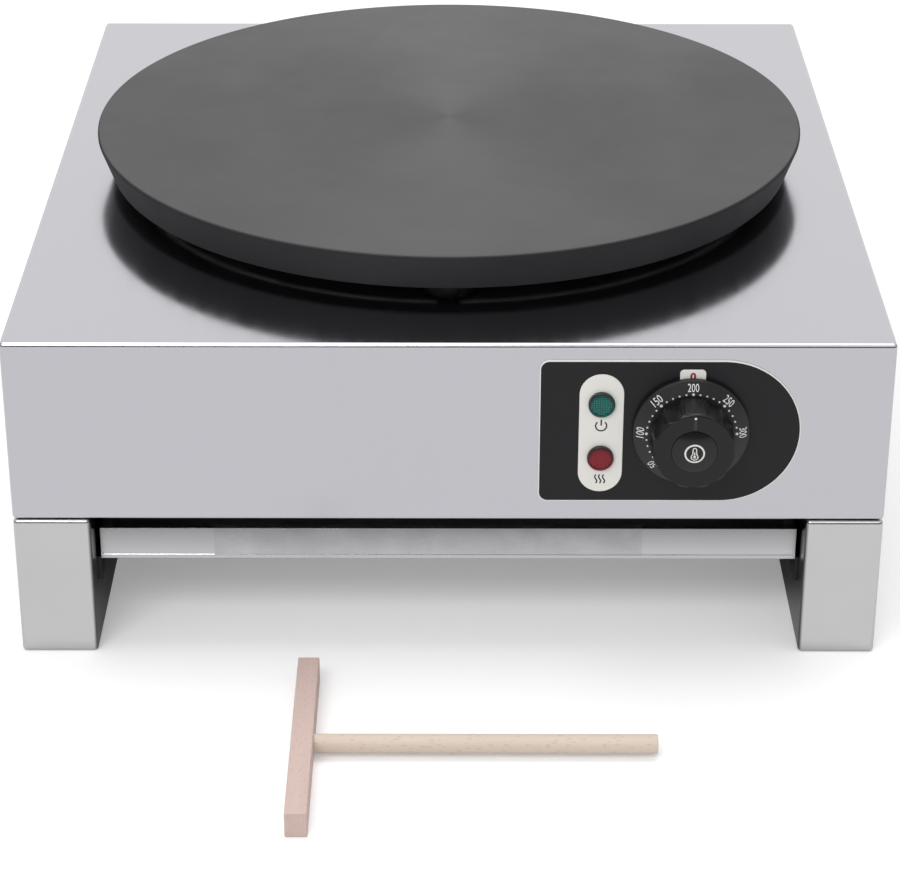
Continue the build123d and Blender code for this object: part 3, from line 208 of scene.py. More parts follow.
def addLamps():
    for name, lamp in studio["lamps"].items():
        light = bpy.data.lights.new(name, "AREA")
        light.shape = "RECTANGLE"
        light.size, light.size_y = lamp["size"]
        light.energy = lamp["power"]
        holder = bpy.data.objects.new(name, light)
        holder.visible_camera = False
        aim = Vector(lamp["aim"]) - Vector(lamp["place"])
        turn = aim.to_track_quat("-Z", "Y").to_matrix().to_4x4()
        holder.matrix_world = Matrix.Translation(lamp["place"]) @ turn
        collection.objects.link(holder)


addCamera()
addFloor()
addSky()
addLamps()
bpy.context.scene.view_settings.view_transform = "Standard"
print("camera, floor and light")

# effects that several finishes share


def newGroup(name, kind, inputs, outputs):
    # an input is a default value, or the kind of a socket that has none
    tree = bpy.data.node_groups.new(name, kind)
    for label, value in inputs.items():
        socketKind = value if isinstance(value, str) else {int: "Int", float: "Float"}[type(value)]
        socket = tree.interface.new_socket(label, in_out="INPUT", socket_type=f"NodeSocket{socketKind}")
        if not isinstance(value, str):
            socket.default_value = value
    resultKind = "Geometry" if kind == "GeometryNodeTree" else "Float"
    for label in outputs:
        tree.interface.new_socket(label, in_out="OUTPUT", socket_type=f"NodeSocket{resultKind}")
    return tree, tree.nodes.new("NodeGroupInput").outputs, tree.nodes.new("NodeGroupOutput").inputs


def giveAll(tree, result, **values):
    for name, value in values.items():
        tree.links.new(value, result[name])
    return tree


def noise(tree, vector, scale, detail, roughness):
    inputs = {"Vector": vector, "Scale": scale, "Detail": detail, "Roughness": roughness}
    return put(tree, "ShaderNodeTexNoise", inputs).outputs[0]


def lineNoise(tree, place):
    inputs = {"W": place, "Scale": 1.0, "Detail": 2.0}
    return put(tree, "ShaderNodeTexNoise", inputs, noise_dimensions="1D").outputs[0]


def stretched(tree, vector, x, y, z):
    return vectorCalc(tree, "MULTIPLY", 0, vector, combined(tree, x, y, z))


# how much slower streaks and wood's marks change than what they follow
streakShare = {"across": 0.06, "along": 0.15}
woodStretch = {"fibre": 0.03, "band": 0.05, "fleck": 0.22}
noiseRange = (0.3, 0.7)    # where a noise has most of its values


def makeBrushedLines():
    # lines of a belt finish: Across and Along count them per metre of the sheet's own map
    tree, given, result = newGroup("brushedLines", "ShaderNodeTree", {
        "Vector": "Vector", "Across": 2500.0, "Along": 25.0, "Cloud": 12.0,
    }, ("Lines", "Streaks", "Clouds"))
    lines = noise(tree, stretched(tree, given["Vector"], given["Across"], given["Along"], 1), 1, 2, 0.6)
    broad = calc(tree, "MULTIPLY", given["Across"], streakShare["across"])
    long = calc(tree, "MULTIPLY", given["Along"], streakShare["along"])
    streaks = noise(tree, stretched(tree, given["Vector"], broad, long, 1), 1, 3, 0.6)
    clouds = noise(tree, given["Vector"], given["Cloud"], 2, 0.5)
    return giveAll(tree, result, Lines=lines, Streaks=streaks, Clouds=clouds)


def makeTurnedRings():
    # rings of a lathe's tool round the Z axis, with slow drifts of tone
    tree, given, result = newGroup("turnedRings", "ShaderNodeTree", {
        "Vector": "Vector", "Rings": 900.0, "Cloud": 14.0,
    }, ("Rings", "Bands", "Clouds"))
    radius = vectorCalc(tree, "LENGTH", "Value", stretched(tree, given["Vector"], 1, 1, 0))
    fine = lineNoise(tree, calc(tree, "MULTIPLY", radius, given["Rings"]))
    bands = lineNoise(tree, calc(tree, "MULTIPLY", radius, calc(tree, "MULTIPLY", given["Rings"], 0.05)))
    clouds = noise(tree, given["Vector"], given["Cloud"], 4, 0.6)
    return giveAll(tree, result, Rings=fine, Bands=bands, Clouds=clouds)


def makeFineSkin():
    # the fine pebbled skin of moulded plastic, casting, board and plating
    tree, given, result = newGroup("fineSkin", "ShaderNodeTree", {
        "Vector": "Vector", "Grain": 2500.0, "Cloud": 40.0,
    }, ("Grain", "Clouds"))
    grain = noise(tree, given["Vector"], given["Grain"], 2, 0.55)
    clouds = noise(tree, given["Vector"], given["Cloud"], 3, 0.5)
    return giveAll(tree, result, Grain=grain, Clouds=clouds)


def makeWoodFibres():
    # close fibres along Z, slow bands of growth, and the short dark flecks of beech
    tree, given, result = newGroup("woodFibres", "ShaderNodeTree", {
        "Vector": "Vector", "Fibre": 2200.0, "Band": 160.0, "Fleck": 900.0,
    }, ("Fibres", "Bands", "Flecks"))

    def drawn(name):
        along = calc(tree, "MULTIPLY", given[name], woodStretch[name.lower()])
        return stretched(tree, given["Vector"], given[name], given[name], along)

    fibres = noise(tree, drawn("Fibre"), 1, 3, 0.65)
    bands = noise(tree, drawn("Band"), 1, 2, 0.5)
    cells = put(tree, "ShaderNodeTexVoronoi", {"Vector": drawn("Fleck"), "Scale": 1.0}).outputs["Distance"]
    return giveAll(tree, result, Fibres=fibres, Bands=bands, Flecks=spread(tree, cells, 1, 0, 0.08, 0.3))


groups = {
    "brushedLines": makeBrushedLines(),
    "turnedRings": makeTurnedRings(),
    "fineSkin": makeFineSkin(),
    "woodFibres": makeWoodFibres(),
}

# finishes


def newFinish(name, constants):
    material = bpy.data.materials.new(name)
    material.use_nodes = True
    tree = material.node_tree
    tree.nodes.clear()
    shader = put(tree, "ShaderNodeBsdfPrincipled", constants)
    put(tree, "ShaderNodeOutputMaterial", {"Surface": shader.outputs[0]})
    return material, tree, shader


def join(tree, value, shader, name):
    tree.links.new(value, shader.inputs[name])


def toned(tree, colour, amount, mask):
    # the colour, darker where the mask is low and lighter where it is high
    base = paint(colour)
    dark = [part * (1 - amount) for part in base[:3]] + [1]
    light = [min(part * (1 + amount), 1) for part in base[:3]] + [1]
    return blendColour(tree, mask, dark, light)


def bumped(tree, height, depth):
    # depth in millimetres
    return put(tree, "ShaderNodeBump", {"Height": height, "Strength": 1.0, "Distance": depth * mm}).outputs[0]


def effectOf(tree, group, vector, **values):
    return put(tree, "ShaderNodeGroup", {"Vector": vector, **values}, node_tree=groups[group]).outputs


def brushedSteel(name, look):
    # rolled and belt-brushed sheet: reflections smear across the lines and stay sharp along them
    material, tree, shader = newFinish(name, {"Metallic": 1.0, "Anisotropic": look["smear"]})
    where = put(tree, "ShaderNodeUVMap", uv_map="brush").outputs[0]
    counts = {"Across": look["across"], "Along": look["along"], "Cloud": look["cloud"]}
    effect = effectOf(tree, "brushedLines", where, **counts)
    mix = blended(tree, effect["Lines"], effect["Clouds"], look.get("lineShare", 0.4))
    colour = toned(tree, look["colour"], look["tone"], mix)
    if "inner" in look:
        # painted shade: walls that face the machine's middle are darkened, for the shade and dark reflections
        # under the machine
        coords = put(tree, "ShaderNodeTexCoord").outputs
        flat = stretched(tree, coords["Normal"], 1, 0, 0)
        facing = vectorCalc(tree, "DOT_PRODUCT", "Value", flat, coords["Object"])
        paintedInnerShade = spread(tree, facing, 1, 0, *look["innerEdge"])
        colour = blendColour(tree, paintedInnerShade, colour, paint(look["inner"]))
    if "overhangShade" in look:
        # painted shade: the sheet is darker towards its top, for the shade under the casing's overhang
        start, end, share = look["overhangShade"]
        level = split(tree, coordinates(tree))["Z"]
        overhangShadeShare = spread(tree, level, 0, 1 - share, start * mm, end * mm)
        colour = blendColour(tree, overhangShadeShare, colour, (0, 0, 0, 1))
    join(tree, colour, shader, "Base Color")
    join(tree, spread(tree, effect["Streaks"], *look["rough"], *noiseRange), shader, "Roughness")
    join(tree, bumped(tree, effect["Lines"], look["depth"]), shader, "Normal")
    tangent = put(tree, "ShaderNodeTangent", direction_type="UV_MAP", uv_map="brush").outputs[0]
    join(tree, tangent, shader, "Tangent")
    return material


def plainFinish(name, colour, tone, rough, grain, cloud, depth, metal=0.0, shine=0.5, coat=0.0):
    # one body colour with a fine skin, for plastic, plated metal, board, ceramic and rubber
    constants = {"Metallic": metal, "Specular IOR Level": shine}
    if coat:
        constants.update({"Coat Weight": coat, "Coat Roughness": 0.05})
    material, tree, shader = newFinish(name, constants)
    effect = effectOf(tree, "fineSkin", coordinates(tree), Grain=grain, Cloud=cloud)
    join(tree, toned(tree, colour, tone, effect["Clouds"]), shader, "Base Color")
    join(tree, spread(tree, effect["Clouds"], *rough, *noiseRange), shader, "Roughness")
    join(tree, bumped(tree, effect["Grain"], depth), shader, "Normal")
    return material


def turnedFinish(name, look):
    # a surface from the lathe, round the object's Z axis
    constants = {
        "Metallic": look.get("metal", 0.0), "Specular IOR Level": look.get("shine", 0.5),
        "Anisotropic": look["smear"],
    }
    material, tree, shader = newFinish(name, constants)
    coords = put(tree, "ShaderNodeTexCoord").outputs
    where = coords["Object"]
    effect = effectOf(tree, "turnedRings", where, Rings=look["rings"], Cloud=look["cloud"])
    skin = effectOf(tree, "fineSkin", where, Grain=look["grain"], Cloud=look["cloud"] * 3)
    mix = blended(tree, effect["Bands"], effect["Clouds"], 0.5)
    colour = toned(tree, look["colour"], look["tone"], mix)
    if "side" in look:
        # the face that looks up is machined and lighter; the cast side is darker, and its colour is also
        # painted darker, as painted shade for the dark reflections on it
        facing = split(tree, coords["Normal"])["Z"]
        machinedUnshadedTop = spread(tree, facing, 0, 1, *look["faceEdge"], "SMOOTHSTEP")
        colour = blendColour(tree, machinedUnshadedTop, toned(tree, look["side"], look["tone"], skin["Clouds"]), colour)
    join(tree, colour, shader, "Base Color")
    rough = spread(tree, effect["Clouds"], *look["rough"], *noiseRange)
    if "side" in look:
        rough = calc(tree, "ADD", rough, spread(tree, facing, look["sideRough"], 0, *look["faceEdge"]))
    join(tree, rough, shader, "Roughness")
    height = calc(tree, "ADD", calc(tree, "MULTIPLY", effect["Rings"], look["ringShare"]), skin["Grain"])
    join(tree, bumped(tree, height, look["depth"]), shader, "Normal")
    tangent = put(tree, "ShaderNodeTangent", direction_type="RADIAL", axis="Z").outputs[0]
    join(tree, tangent, shader, "Tangent")
    return material


def beechFinish(name, look):
    material, tree, shader = newFinish(name, {"Specular IOR Level": look["shine"]})
    place = {"Vector": coordinates(tree), "Rotation": look["turn"]}
    where = put(tree, "ShaderNodeMapping", place).outputs[0]
    effect = effectOf(tree, "woodFibres", where, Fibre=look["fibre"], Band=look["band"], Fleck=look["fleck"])
    mix = blended(tree, effect["Fibres"], effect["Bands"], look["fibreShare"])
    body = toned(tree, look["colour"], look["tone"], mix)
    marks = calc(tree, "MULTIPLY", effect["Flecks"], look["fleckShare"])
    join(tree, blendColour(tree, marks, body, paint(look["fleckColour"])), shader, "Base Color")
    join(tree, spread(tree, effect["Fibres"], *look["rough"]), shader, "Roughness")
    join(tree, bumped(tree, effect["Fibres"], look["depth"]), shader, "Normal")
    return material


brushed = {
    "casing_steel": {"colour": "c5c4ca", "tone": 0.02, "rough": (0.14, 0.18), "smear": 0.6,
                     "across": 2600.0, "along": 22.0, "cloud": 5.0, "depth": 0.0006},
    # painted shade: the legs' walls that face the middle get a darker grey
    "leg_steel": {"colour": "c9c9ca", "tone": 0.045, "rough": (0.268, 0.272), "smear": 0.7, "lineShare": 0.0,
                  "across": 2600.0, "along": 22.0, "cloud": 26.0, "depth": 0.00002,
                  "inner": "6c6c6e", "innerEdge": (-0.15, -0.05)},
    # painted shade: the runners are near black, for the shade under the machine between the legs
    "runner_steel": {"colour": "3a3a3c", "tone": 0.08, "rough": (0.34, 0.44), "smear": 0.4,
                     "across": 2600.0, "along": 22.0, "cloud": 30.0, "depth": 0.0008},
    # painted shade: drawer_steel and pull_steel are darkened towards the top under the casing
    "drawer_steel": {"colour": "c0c0c2", "tone": 0.04, "rough": (0.2, 0.28), "smear": 0.6,
                     "across": 2200.0, "along": 20.0, "cloud": 18.0, "depth": 0.0008,
                     "overhangShade": (50, 62.5, 0.62)},
    "pull_steel": {"colour": "bcbcbe", "tone": 0.24, "rough": (0.26, 0.4), "smear": 0.5,
                   "across": 1100.0, "along": 260.0, "cloud": 60.0, "depth": 0.008,
                   "overhangShade": (50, 62.5, 0.62)},
}

# colour, tone, roughness, grains and clouds per metre, depth in millimetres, and what else it has
plain = {
    "inner_steel": ("a9abad", 0.06, (0.32, 0.45), 3000.0, 60.0, 0.002, {"metal": 1.0}),
    "fastener_steel": ("b9bab8", 0.06, (0.25, 0.4), 5000.0, 200.0, 0.002, {"metal": 1.0}),
    "element_tube": ("4a4c49", 0.25, (0.5, 0.7), 4000.0, 90.0, 0.01, {"metal": 0.6}),
    "ceramic": ("e2ddd2", 0.04, (0.18, 0.3), 1500.0, 120.0, 0.003, {"coat": 0.5}),
    "insulation": ("cfc9bd", 0.1, (0.85, 0.95), 1800.0, 90.0, 0.12, {}),
    "copper": ("c88965", 0.12, (0.25, 0.4), 4000.0, 120.0, 0.002, {"metal": 1.0}),
    "brass": ("cdb277", 0.08, (0.25, 0.38), 4000.0, 150.0, 0.002, {"metal": 1.0}),
    "panel_black": ("1b1a1d", 0.05, (0.34, 0.42), 5000.0, 30.0, 0.001, {"shine": 0.24}),
    "knob_black": ("141415", 0.08, (0.28, 0.36), 6000.0, 60.0, 0.0015, {"shine": 0.32}),
    "plate_white": ("e4e2dd", 0.015, (0.42, 0.5), 5000.0, 60.0, 0.001, {}),
    "lamp_plastic": ("d6d6cf", 0.03, (0.4, 0.5), 3000.0, 80.0, 0.002, {}),
    "gland_black": ("242426", 0.08, (0.45, 0.55), 2500.0, 80.0, 0.006, {}),
    "wire_sleeve": ("c8c0ae", 0.05, (0.5, 0.6), 3500.0, 90.0, 0.004, {}),
    "grommet_rubber": ("1d1d1e", 0.1, (0.6, 0.75), 3000.0, 100.0, 0.006, {}),
    # painted light: a grey lighter than the knob, for the lit floor of the pointer groove
    "lineGrey": ("2f2f31", 0.05, (0.4, 0.5), 5000.0, 100.0, 0.001, {"shine": 0.4}),
    "dialBlack": ("171718", 0.1, (0.42, 0.5), 2600.0, 60.0, 0.006, {"shine": 0.5}),
    "capBlack": ("121213", 0.06, (0.16, 0.22), 6000.0, 60.0, 0.001, {"shine": 0.4}),
    "printWhite": ("dededc", 0.02, (0.5, 0.6), 3000.0, 200.0, 0.001, {}),
    "printBlack": ("1c1b1d", 0.05, (0.5, 0.6), 3000.0, 200.0, 0.001, {}),
    "printRed": ("9a1620", 0.05, (0.5, 0.6), 3000.0, 200.0, 0.001, {}),
}

turnedLooks = {
    # painted shade in part: the side colour is darker than the cast iron alone
    "griddle_iron": {"colour": "363637", "side": "1b1b1d", "sideRough": 0.2, "faceEdge": (0.6, 0.97),
                     "tone": 0.2, "rough": (0.34, 0.46), "shine": 0.42,
                     "smear": 0.6, "rings": 700.0, "cloud": 11.0, "grain": 2200.0, "ringShare": 1.5,
                     "depth": 0.012},
    "post_metal": {"colour": "9b9c9d", "tone": 0.06, "rough": (0.24, 0.34), "metal": 1.0, "smear": 0.4,
                   "rings": 900.0, "cloud": 40.0, "grain": 4000.0, "ringShare": 1.0, "depth": 0.003},
}

finishes = {name: brushedSteel(name, look) for name, look in brushed.items()}
finishes.update({name: plainFinish(name, *values, **more) for name, (*values, more) in plain.items()})
finishes.update({name: turnedFinish(name, look) for name, look in turnedLooks.items()})
beech = {"colour": "ccb5ad", "tone": 0.1, "fibre": 2400.0, "band": 220.0, "fleck": 800.0, "fleckShare": 0.5,
         "fleckColour": "a98d80", "depth": 0.03, "fibreShare": 0.45, "rough": (0.55, 0.8), "shine": 0.3}
finishes["beechHead"] = beechFinish("beechHead", {**beech, "turn": (radians(90), 0, 0)})
finishes["beechHandle"] = beechFinish("beechHandle", {
    **beech, "turn": (0, radians(90), 0), "colour": "d3c3b4",
})
print("finishes")

# ways to make meshes


def asMesh(helper):
    # the helper's finished shape as a plain mesh; the helper and its modifiers go
    bpy.context.view_layer.update()
    ready = helper.evaluated_get(bpy.context.evaluated_depsgraph_get())
    mesh = bpy.data.meshes.new_from_object(ready)
    bpy.data.objects.remove(helper)
    return mesh


def newHelper(mesh):
    helper = bpy.data.objects.new("helper", mesh)
    collection.objects.link(helper)
    return helper


def refine(mesh, *steps):
    helper = newHelper(mesh)
    for kind, settings in steps:
        modifier = helper.modifiers.new(kind, kind)
        for name, value in settings.items():
            setattr(modifier, name, value)
    return asMesh(helper)


def grow(tree, source, inputs):
    # runs a geometry tree on a mesh
    helper = newHelper(source)
    modifier = helper.modifiers.new("grow", "NODES")
    modifier.node_group = tree
    for item in tree.interface.items_tree:
        if item.item_type == "SOCKET" and item.in_out == "INPUT" and item.name in inputs:
            modifier[item.identifier] = inputs[item.name]
    return asMesh(helper)


def written(shape):
    mesh = bpy.data.meshes.new("shape")
    shape.to_mesh(mesh)
    shape.free()
    return mesh


def tidy(shape):
    # one skin with its faces outwards, from a bmesh
    bmesh.ops.remove_doubles(shape, verts=shape.verts, dist=0.0005)
    bmesh.ops.dissolve_degenerate(shape, edges=shape.edges, dist=0.0002)
    bmesh.ops.recalc_face_normals(shape, faces=shape.faces)
    return written(shape)


def tidyMesh(mesh):
    shape = bmesh.new()
    shape.from_mesh(mesh)
    return tidy(shape)


def together(*meshes):
    shape = bmesh.new()
    for mesh in meshes:
        shape.from_mesh(mesh)
    return written(shape)


def placed(mesh, matrix):
    mesh.transform(matrix)
    return mesh


def skin(loops, startCap=True):
    # walls between closed loops that have the same number of points, and caps
    shape = bmesh.new()
    rows = [[shape.verts.new(point) for point in loop] for loop in loops]
    count = len(rows[0])
    for near, far in zip(rows, rows[1:]):
        for k in range(count):
            shape.faces.new((near[k], near[(k + 1) % count], far[(k + 1) % count], far[k]))
    if startCap:
        shape.faces.new(rows[0][::-1])
    shape.faces.new(rows[-1])
    return tidy(shape)


def prism(outline, low, high):
    return skin([[(x, y, level) for x, y in outline] for level in (low, high)])


def block(low, high):
    outline = [(low[0], low[1]), (high[0], low[1]), (high[0], high[1]), (low[0], high[1])]
    return prism(outline, low[2], high[2])


def roundedLoop(low, high, radii, steps):
    # points round a rectangle; radii of its right top, left top, left bottom and right bottom corners
    points = []
    for corner, radius in enumerate(radii):
        x = high[0] - radius if corner in (0, 3) else low[0] + radius
        y = high[1] - radius if corner in (0, 1) else low[1] + radius
        for step in range(steps + 1):
            angle = pi / 2 * (corner + step / steps)
            points.append((x + radius * cos(angle), y + radius * sin(angle)))
    return points


def roundedLine(corners, steps=4):
    # a line through corners (x, y, radius), with an arc at each one that has a radius
    line = []
    for k, (x, y, radius) in enumerate(corners):
        here = Vector((x, y))
        if radius == 0:
            line.append(here)
            continue
        before = (Vector(corners[k - 1][:2]) - here).normalized()
        after = (Vector(corners[(k + 1) % len(corners)][:2]) - here).normalized()
        half = before.angle(after) / 2
        middle = here + (before + after).normalized() * radius / sin(half)
        start = here + before * radius / tan(half) - middle
        end = here + after * radius / tan(half) - middle
        for step in range(steps + 1):
            line.append(middle + start.lerp(end, step / steps).normalized() * radius)
    return [tuple(point) for point in line]


def foldedBox(low, high, look, capUp=True, steps=5):
    # sheet folded into a box that is open on one side, with return flanges round the opening
    fold, rim = look["fold"], look["rimFold"]
    height = high[2] - low[2]
    rings = []
    if look["sideFlange"]:
        rings.append((look["sideFlange"], look["endFlange"], 0))
    for step in range(steps + 1 if rim else 1):
        turn = pi / 2 * step / steps
        rings.append((rim * (1 - sin(turn)), rim * (1 - sin(turn)), rim * (1 - cos(turn))))
    for step in range(steps + 1):
        turn = pi / 2 * step / steps
        inset = fold * (1 - cos(turn))
        rings.append((inset, inset, height - fold * (1 - sin(turn))))
    loops = []
    for insetX, insetY, rise in rings:
        corner = max(fold - max(insetX, insetY), 0.05)
        level = low[2] + rise if capUp else high[2] - rise
        near, far = (low[0] + insetX, low[1] + insetY), (high[0] - insetX, high[1] - insetY)
        loops.append([(x, y, level) for x, y in roundedLoop(near, far, [corner] * 4, 6)])
    shell = skin(loops, startCap=False)
    return refine(shell, ("SOLIDIFY", {"thickness": look["sheet"], "offset": -1, "use_even_offset": True}))


def frontOutline(low, high, radii, steps):
    # the outline in X and Z of a plate on the front, for any inset
    def outline(inset):
        near, far = (low.x + inset, low.z + inset), (high.x - inset, high.z - inset)
        return roundedLoop(near, far, [radius - inset for radius in radii], steps)
    return outline


def plate(outline, front, thickness, edge, steps=3):
    # a plate on the machine's front; outline(inset) gives its points in X and Z, front is its face's Y
    loops = [[(x, front + thickness, z) for x, z in outline(0)]]
    for step in range(steps + 1):
        turn = pi / 2 * step / steps
        inset = edge * (1 - cos(turn))
        loops.append([(x, front + edge * (1 - sin(turn)), z) for x, z in outline(inset)])
    return skin(loops)


def swept(profile, start, end):
    # a closed profile of (y, z) points drawn along X
    return skin([[(x, y, z) for y, z in profile] for x in (start, end)])


def drilled(mesh, places, radius, low, high, steps=32):
    # round holes along Z
    cutters = []
    for x, y in places:
        ring = [(x + radius * cos(tau * k / steps), y + radius * sin(tau * k / steps)) for k in range(steps)]
        cutters.append(prism(ring, low, high))
    return cutAway(mesh, together(*cutters))


def cutAway(mesh, cutter):
    tool = newHelper(cutter)
    helper = newHelper(mesh)
    modifier = helper.modifiers.new("cut", "BOOLEAN")
    modifier.operation = "DIFFERENCE"
    modifier.solver = "EXACT"
    modifier.object = tool
    result = asMesh(helper)
    bpy.data.objects.remove(tool)
    return result


def softCopy(node, edge):
    # a CAD node's own shape, joined into one skin, with its edges broken
    shape = bmesh.new()
    shape.from_mesh(frame["nodes"][node].data)
    bmesh.ops.scale(shape, vec=(1 / mm,) * 3, verts=shape.verts)
    bmesh.ops.remove_doubles(shape, verts=shape.verts, dist=0.002)
    bmesh.ops.dissolve_limit(shape, angle_limit=radians(0.5), verts=shape.verts, edges=shape.edges)
    mesh = tidy(shape)
    return refine(mesh, ("BEVEL", {
        "width": edge, "segments": 2, "limit_method": "ANGLE", "angle_limit": radians(40),
        "use_clamp_overlap": True, "harden_normals": False,
    }))


def brushMap(mesh, along):
    # the sheet's own map: first across the brushing, then along it, in metres
    layer = mesh.uv_layers.get("brush") or mesh.uv_layers.new(name="brush")
    picks = {"y": ((2, 1), (0, 2), (0, 1)), "x": ((2, 1), (2, 0), (1, 0))}[along]
    for face in mesh.polygons:
        size = [abs(part) for part in face.normal]
        first, second = picks[size.index(max(size))]
        for corner in face.loop_indices:
            place = mesh.vertices[mesh.loops[corner].vertex_index].co
            layer.data[corner].uv = (place[first], place[second])


def newPiece(name, mesh, finish, body, slot, *nodes, brush=None, sharp=35.0):
    mesh.transform(Matrix.Scale(mm, 4))
    mesh.shade_smooth()
    mesh.set_sharp_from_angle(angle=radians(sharp))
    mesh = refine(mesh, ("WEIGHTED_NORMAL", {"keep_sharp": True}))
    if brush:
        brushMap(mesh, brush)
    mesh.name = name
    mesh.materials.clear()
    mesh.materials.append(finishes[finish])
    piece = bpy.data.objects.new(name, mesh)
    collection.objects.link(piece)
    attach(piece, body)
    if nodes:
        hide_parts(*nodes)
    return piece


# geometry trees


def newForm(name, inputs):
    # a geometry tree, with the sockets that each of them has
    sockets = {"Geometry": "Geometry", **inputs, "Material": "Material"}
    return newGroup(name, "GeometryNodeTree", sockets, ["Geometry"])


def formed(tree, given, result, form):
    # real geometry with its material, as the tree's result
    form = put(tree, "GeometryNodeRealizeInstances", {"Geometry": form}).outputs[0]
    paints = {"Geometry": form, "Material": given["Material"]}
    return giveAll(tree, result, Geometry=put(tree, "GeometryNodeSetMaterial", paints).outputs[0])


def onCircle(tree, radius, angle, height):
    # a place round Z, clockwise from the top
    x = calc(tree, "MULTIPLY", radius, calc(tree, "SINE", angle))
    return combined(tree, x, calc(tree, "MULTIPLY", radius, calc(tree, "COSINE", angle)), height)


def squareGrid(tree, sizeX, sizeY, countX, countY):
    inputs = {"Size X": sizeX, "Size Y": sizeY, "Vertices X": countX, "Vertices Y": countY}
    return put(tree, "GeometryNodeMeshGrid", inputs).outputs["Mesh"]


def makeTurnedForm():
    # turns an ordered line of points (radius in X, height in Z) round Z, with flats or flutes if wanted
    tree, given, result = newForm("turnedForm", {
        "Segments": 96, "Flats": 6, "FlatDistance": 10000.0,
        "Flutes": 0, "FluteRadius": 8.0, "FluteCentre": 30.0, "Softness": 0.5,
    })
    size = put(tree, "GeometryNodeAttributeDomainSize", {"Geometry": given["Geometry"]}, component="MESH")
    count = size.outputs["Point Count"]
    grid = squareGrid(tree, 1.0, 1.0, calc(tree, "ADD", given["Segments"], 1), count)
    index = put(tree, "GeometryNodeInputIndex").outputs[0]
    column = calc(tree, "FLOOR", calc(tree, "DIVIDE", calc(tree, "ADD", index, 0.5), count))
    row = calc(tree, "SUBTRACT", index, calc(tree, "MULTIPLY", column, count))
    spot = put(tree, "GeometryNodeInputPosition").outputs[0]
    sampled = put(tree, "GeometryNodeSampleIndex", {
        "Geometry": given["Geometry"], "Value": spot, "Index": row,
    }, data_type="FLOAT_VECTOR", domain="POINT").outputs[0]
    axes = split(tree, sampled)
    angle = calc(tree, "MULTIPLY", calc(tree, "DIVIDE", column, given["Segments"]), tau)

    def fromNearest(number):
        # the angle from the nearest of so many even steps, and that step's number
        pitch = calc(tree, "DIVIDE", tau, calc(tree, "MAXIMUM", number, 1))
        step = calc(tree, "ROUND", calc(tree, "DIVIDE", angle, pitch))
        return calc(tree, "SUBTRACT", angle, calc(tree, "MULTIPLY", step, pitch)), step

    offFlat, _ = fromNearest(given["Flats"])
    flat = calc(tree, "DIVIDE", given["FlatDistance"], calc(tree, "COSINE", offFlat))
    radius = calc(tree, "MINIMUM", axes["X"], flat)
    # flutes: circles beyond the rim, smoothly cut away, but none at the top
    offFlute, step = fromNearest(given["Flutes"])
    across = calc(tree, "MULTIPLY", given["FluteCentre"], calc(tree, "SINE", offFlute))
    along = calc(tree, "MULTIPLY", given["FluteCentre"], calc(tree, "COSINE", offFlute))
    fluteSquare = calc(tree, "POWER", given["FluteRadius"], 2)
    inside = calc(tree, "SUBTRACT", fluteSquare, calc(tree, "POWER", across, 2))
    half = calc(tree, "SQRT", calc(tree, "MAXIMUM", inside, 0))
    wall = calc(tree, "SUBTRACT", along, half)
    cut = calc(tree, "SMOOTH_MIN", radius, wall, given["Softness"])
    turnShare = calc(tree, "MODULO", step, calc(tree, "MAXIMUM", given["Flutes"], 1))
    wanted = calc(tree, "GREATER_THAN", turnShare, 0.5)
    radius = calc(tree, "ADD", radius, calc(tree, "MULTIPLY", wanted, calc(tree, "SUBTRACT", cut, radius)))
    place = onCircle(tree, radius, angle, axes["Z"])
    form = put(tree, "GeometryNodeSetPosition", {"Geometry": grid, "Position": place}).outputs[0]
    form = put(tree, "GeometryNodeMergeByDistance", {"Geometry": form, "Distance": 0.0005}).outputs[0]
    return formed(tree, given, result, form)


def makeCopies():
    # one shape at each point of the object's own mesh
    tree, given, result = newForm("copiesOnPoints", {
        "Shape": "Object",
    })
    shape = put(tree, "GeometryNodeObjectInfo", {"Object": given["Shape"]}).outputs["Geometry"]
    copies = put(tree, "GeometryNodeInstanceOnPoints", {
        "Points": given["Geometry"], "Instance": shape,
    }).outputs[0]
    return formed(tree, given, result, copies)


def makeDialDots():
    # dots along part of a circle round Z, clockwise from the top, every fifth one bigger
    tree, given, result = newForm("dialDots", {
        "Count": 31, "Start": -176.0, "Step": 8.8, "Circle": 22.6, "Height": 5.2,
        "DotRadius": 0.4, "BigRadius": 0.65, "Thickness": 0.04,
    })
    line = put(tree, "GeometryNodeMeshLine", {"Count": given["Count"]}).outputs[0]
    index = put(tree, "GeometryNodeInputIndex").outputs[0]
    past = calc(tree, "MULTIPLY", index, given["Step"])
    angle = calc(tree, "RADIANS", calc(tree, "ADD", given["Start"], past))
    place = onCircle(tree, given["Circle"], angle, given["Height"])
    points = put(tree, "GeometryNodeSetPosition", {"Geometry": line, "Position": place}).outputs[0]
    dot = put(tree, "GeometryNodeMeshCylinder", {
        "Vertices": 14, "Radius": 1.0, "Depth": given["Thickness"],
    }).outputs["Mesh"]
    big = calc(tree, "LESS_THAN", calc(tree, "MODULO", index, 5), 0.5)
    more = calc(tree, "MULTIPLY", big, calc(tree, "SUBTRACT", given["BigRadius"], given["DotRadius"]))
    radius = calc(tree, "ADD", given["DotRadius"], more)
    copies = {"Points": points, "Instance": dot, "Scale": combined(tree, radius, radius, 1.0)}
    dots = put(tree, "GeometryNodeInstanceOnPoints", copies).outputs[0]
    return formed(tree, given, result, dots)


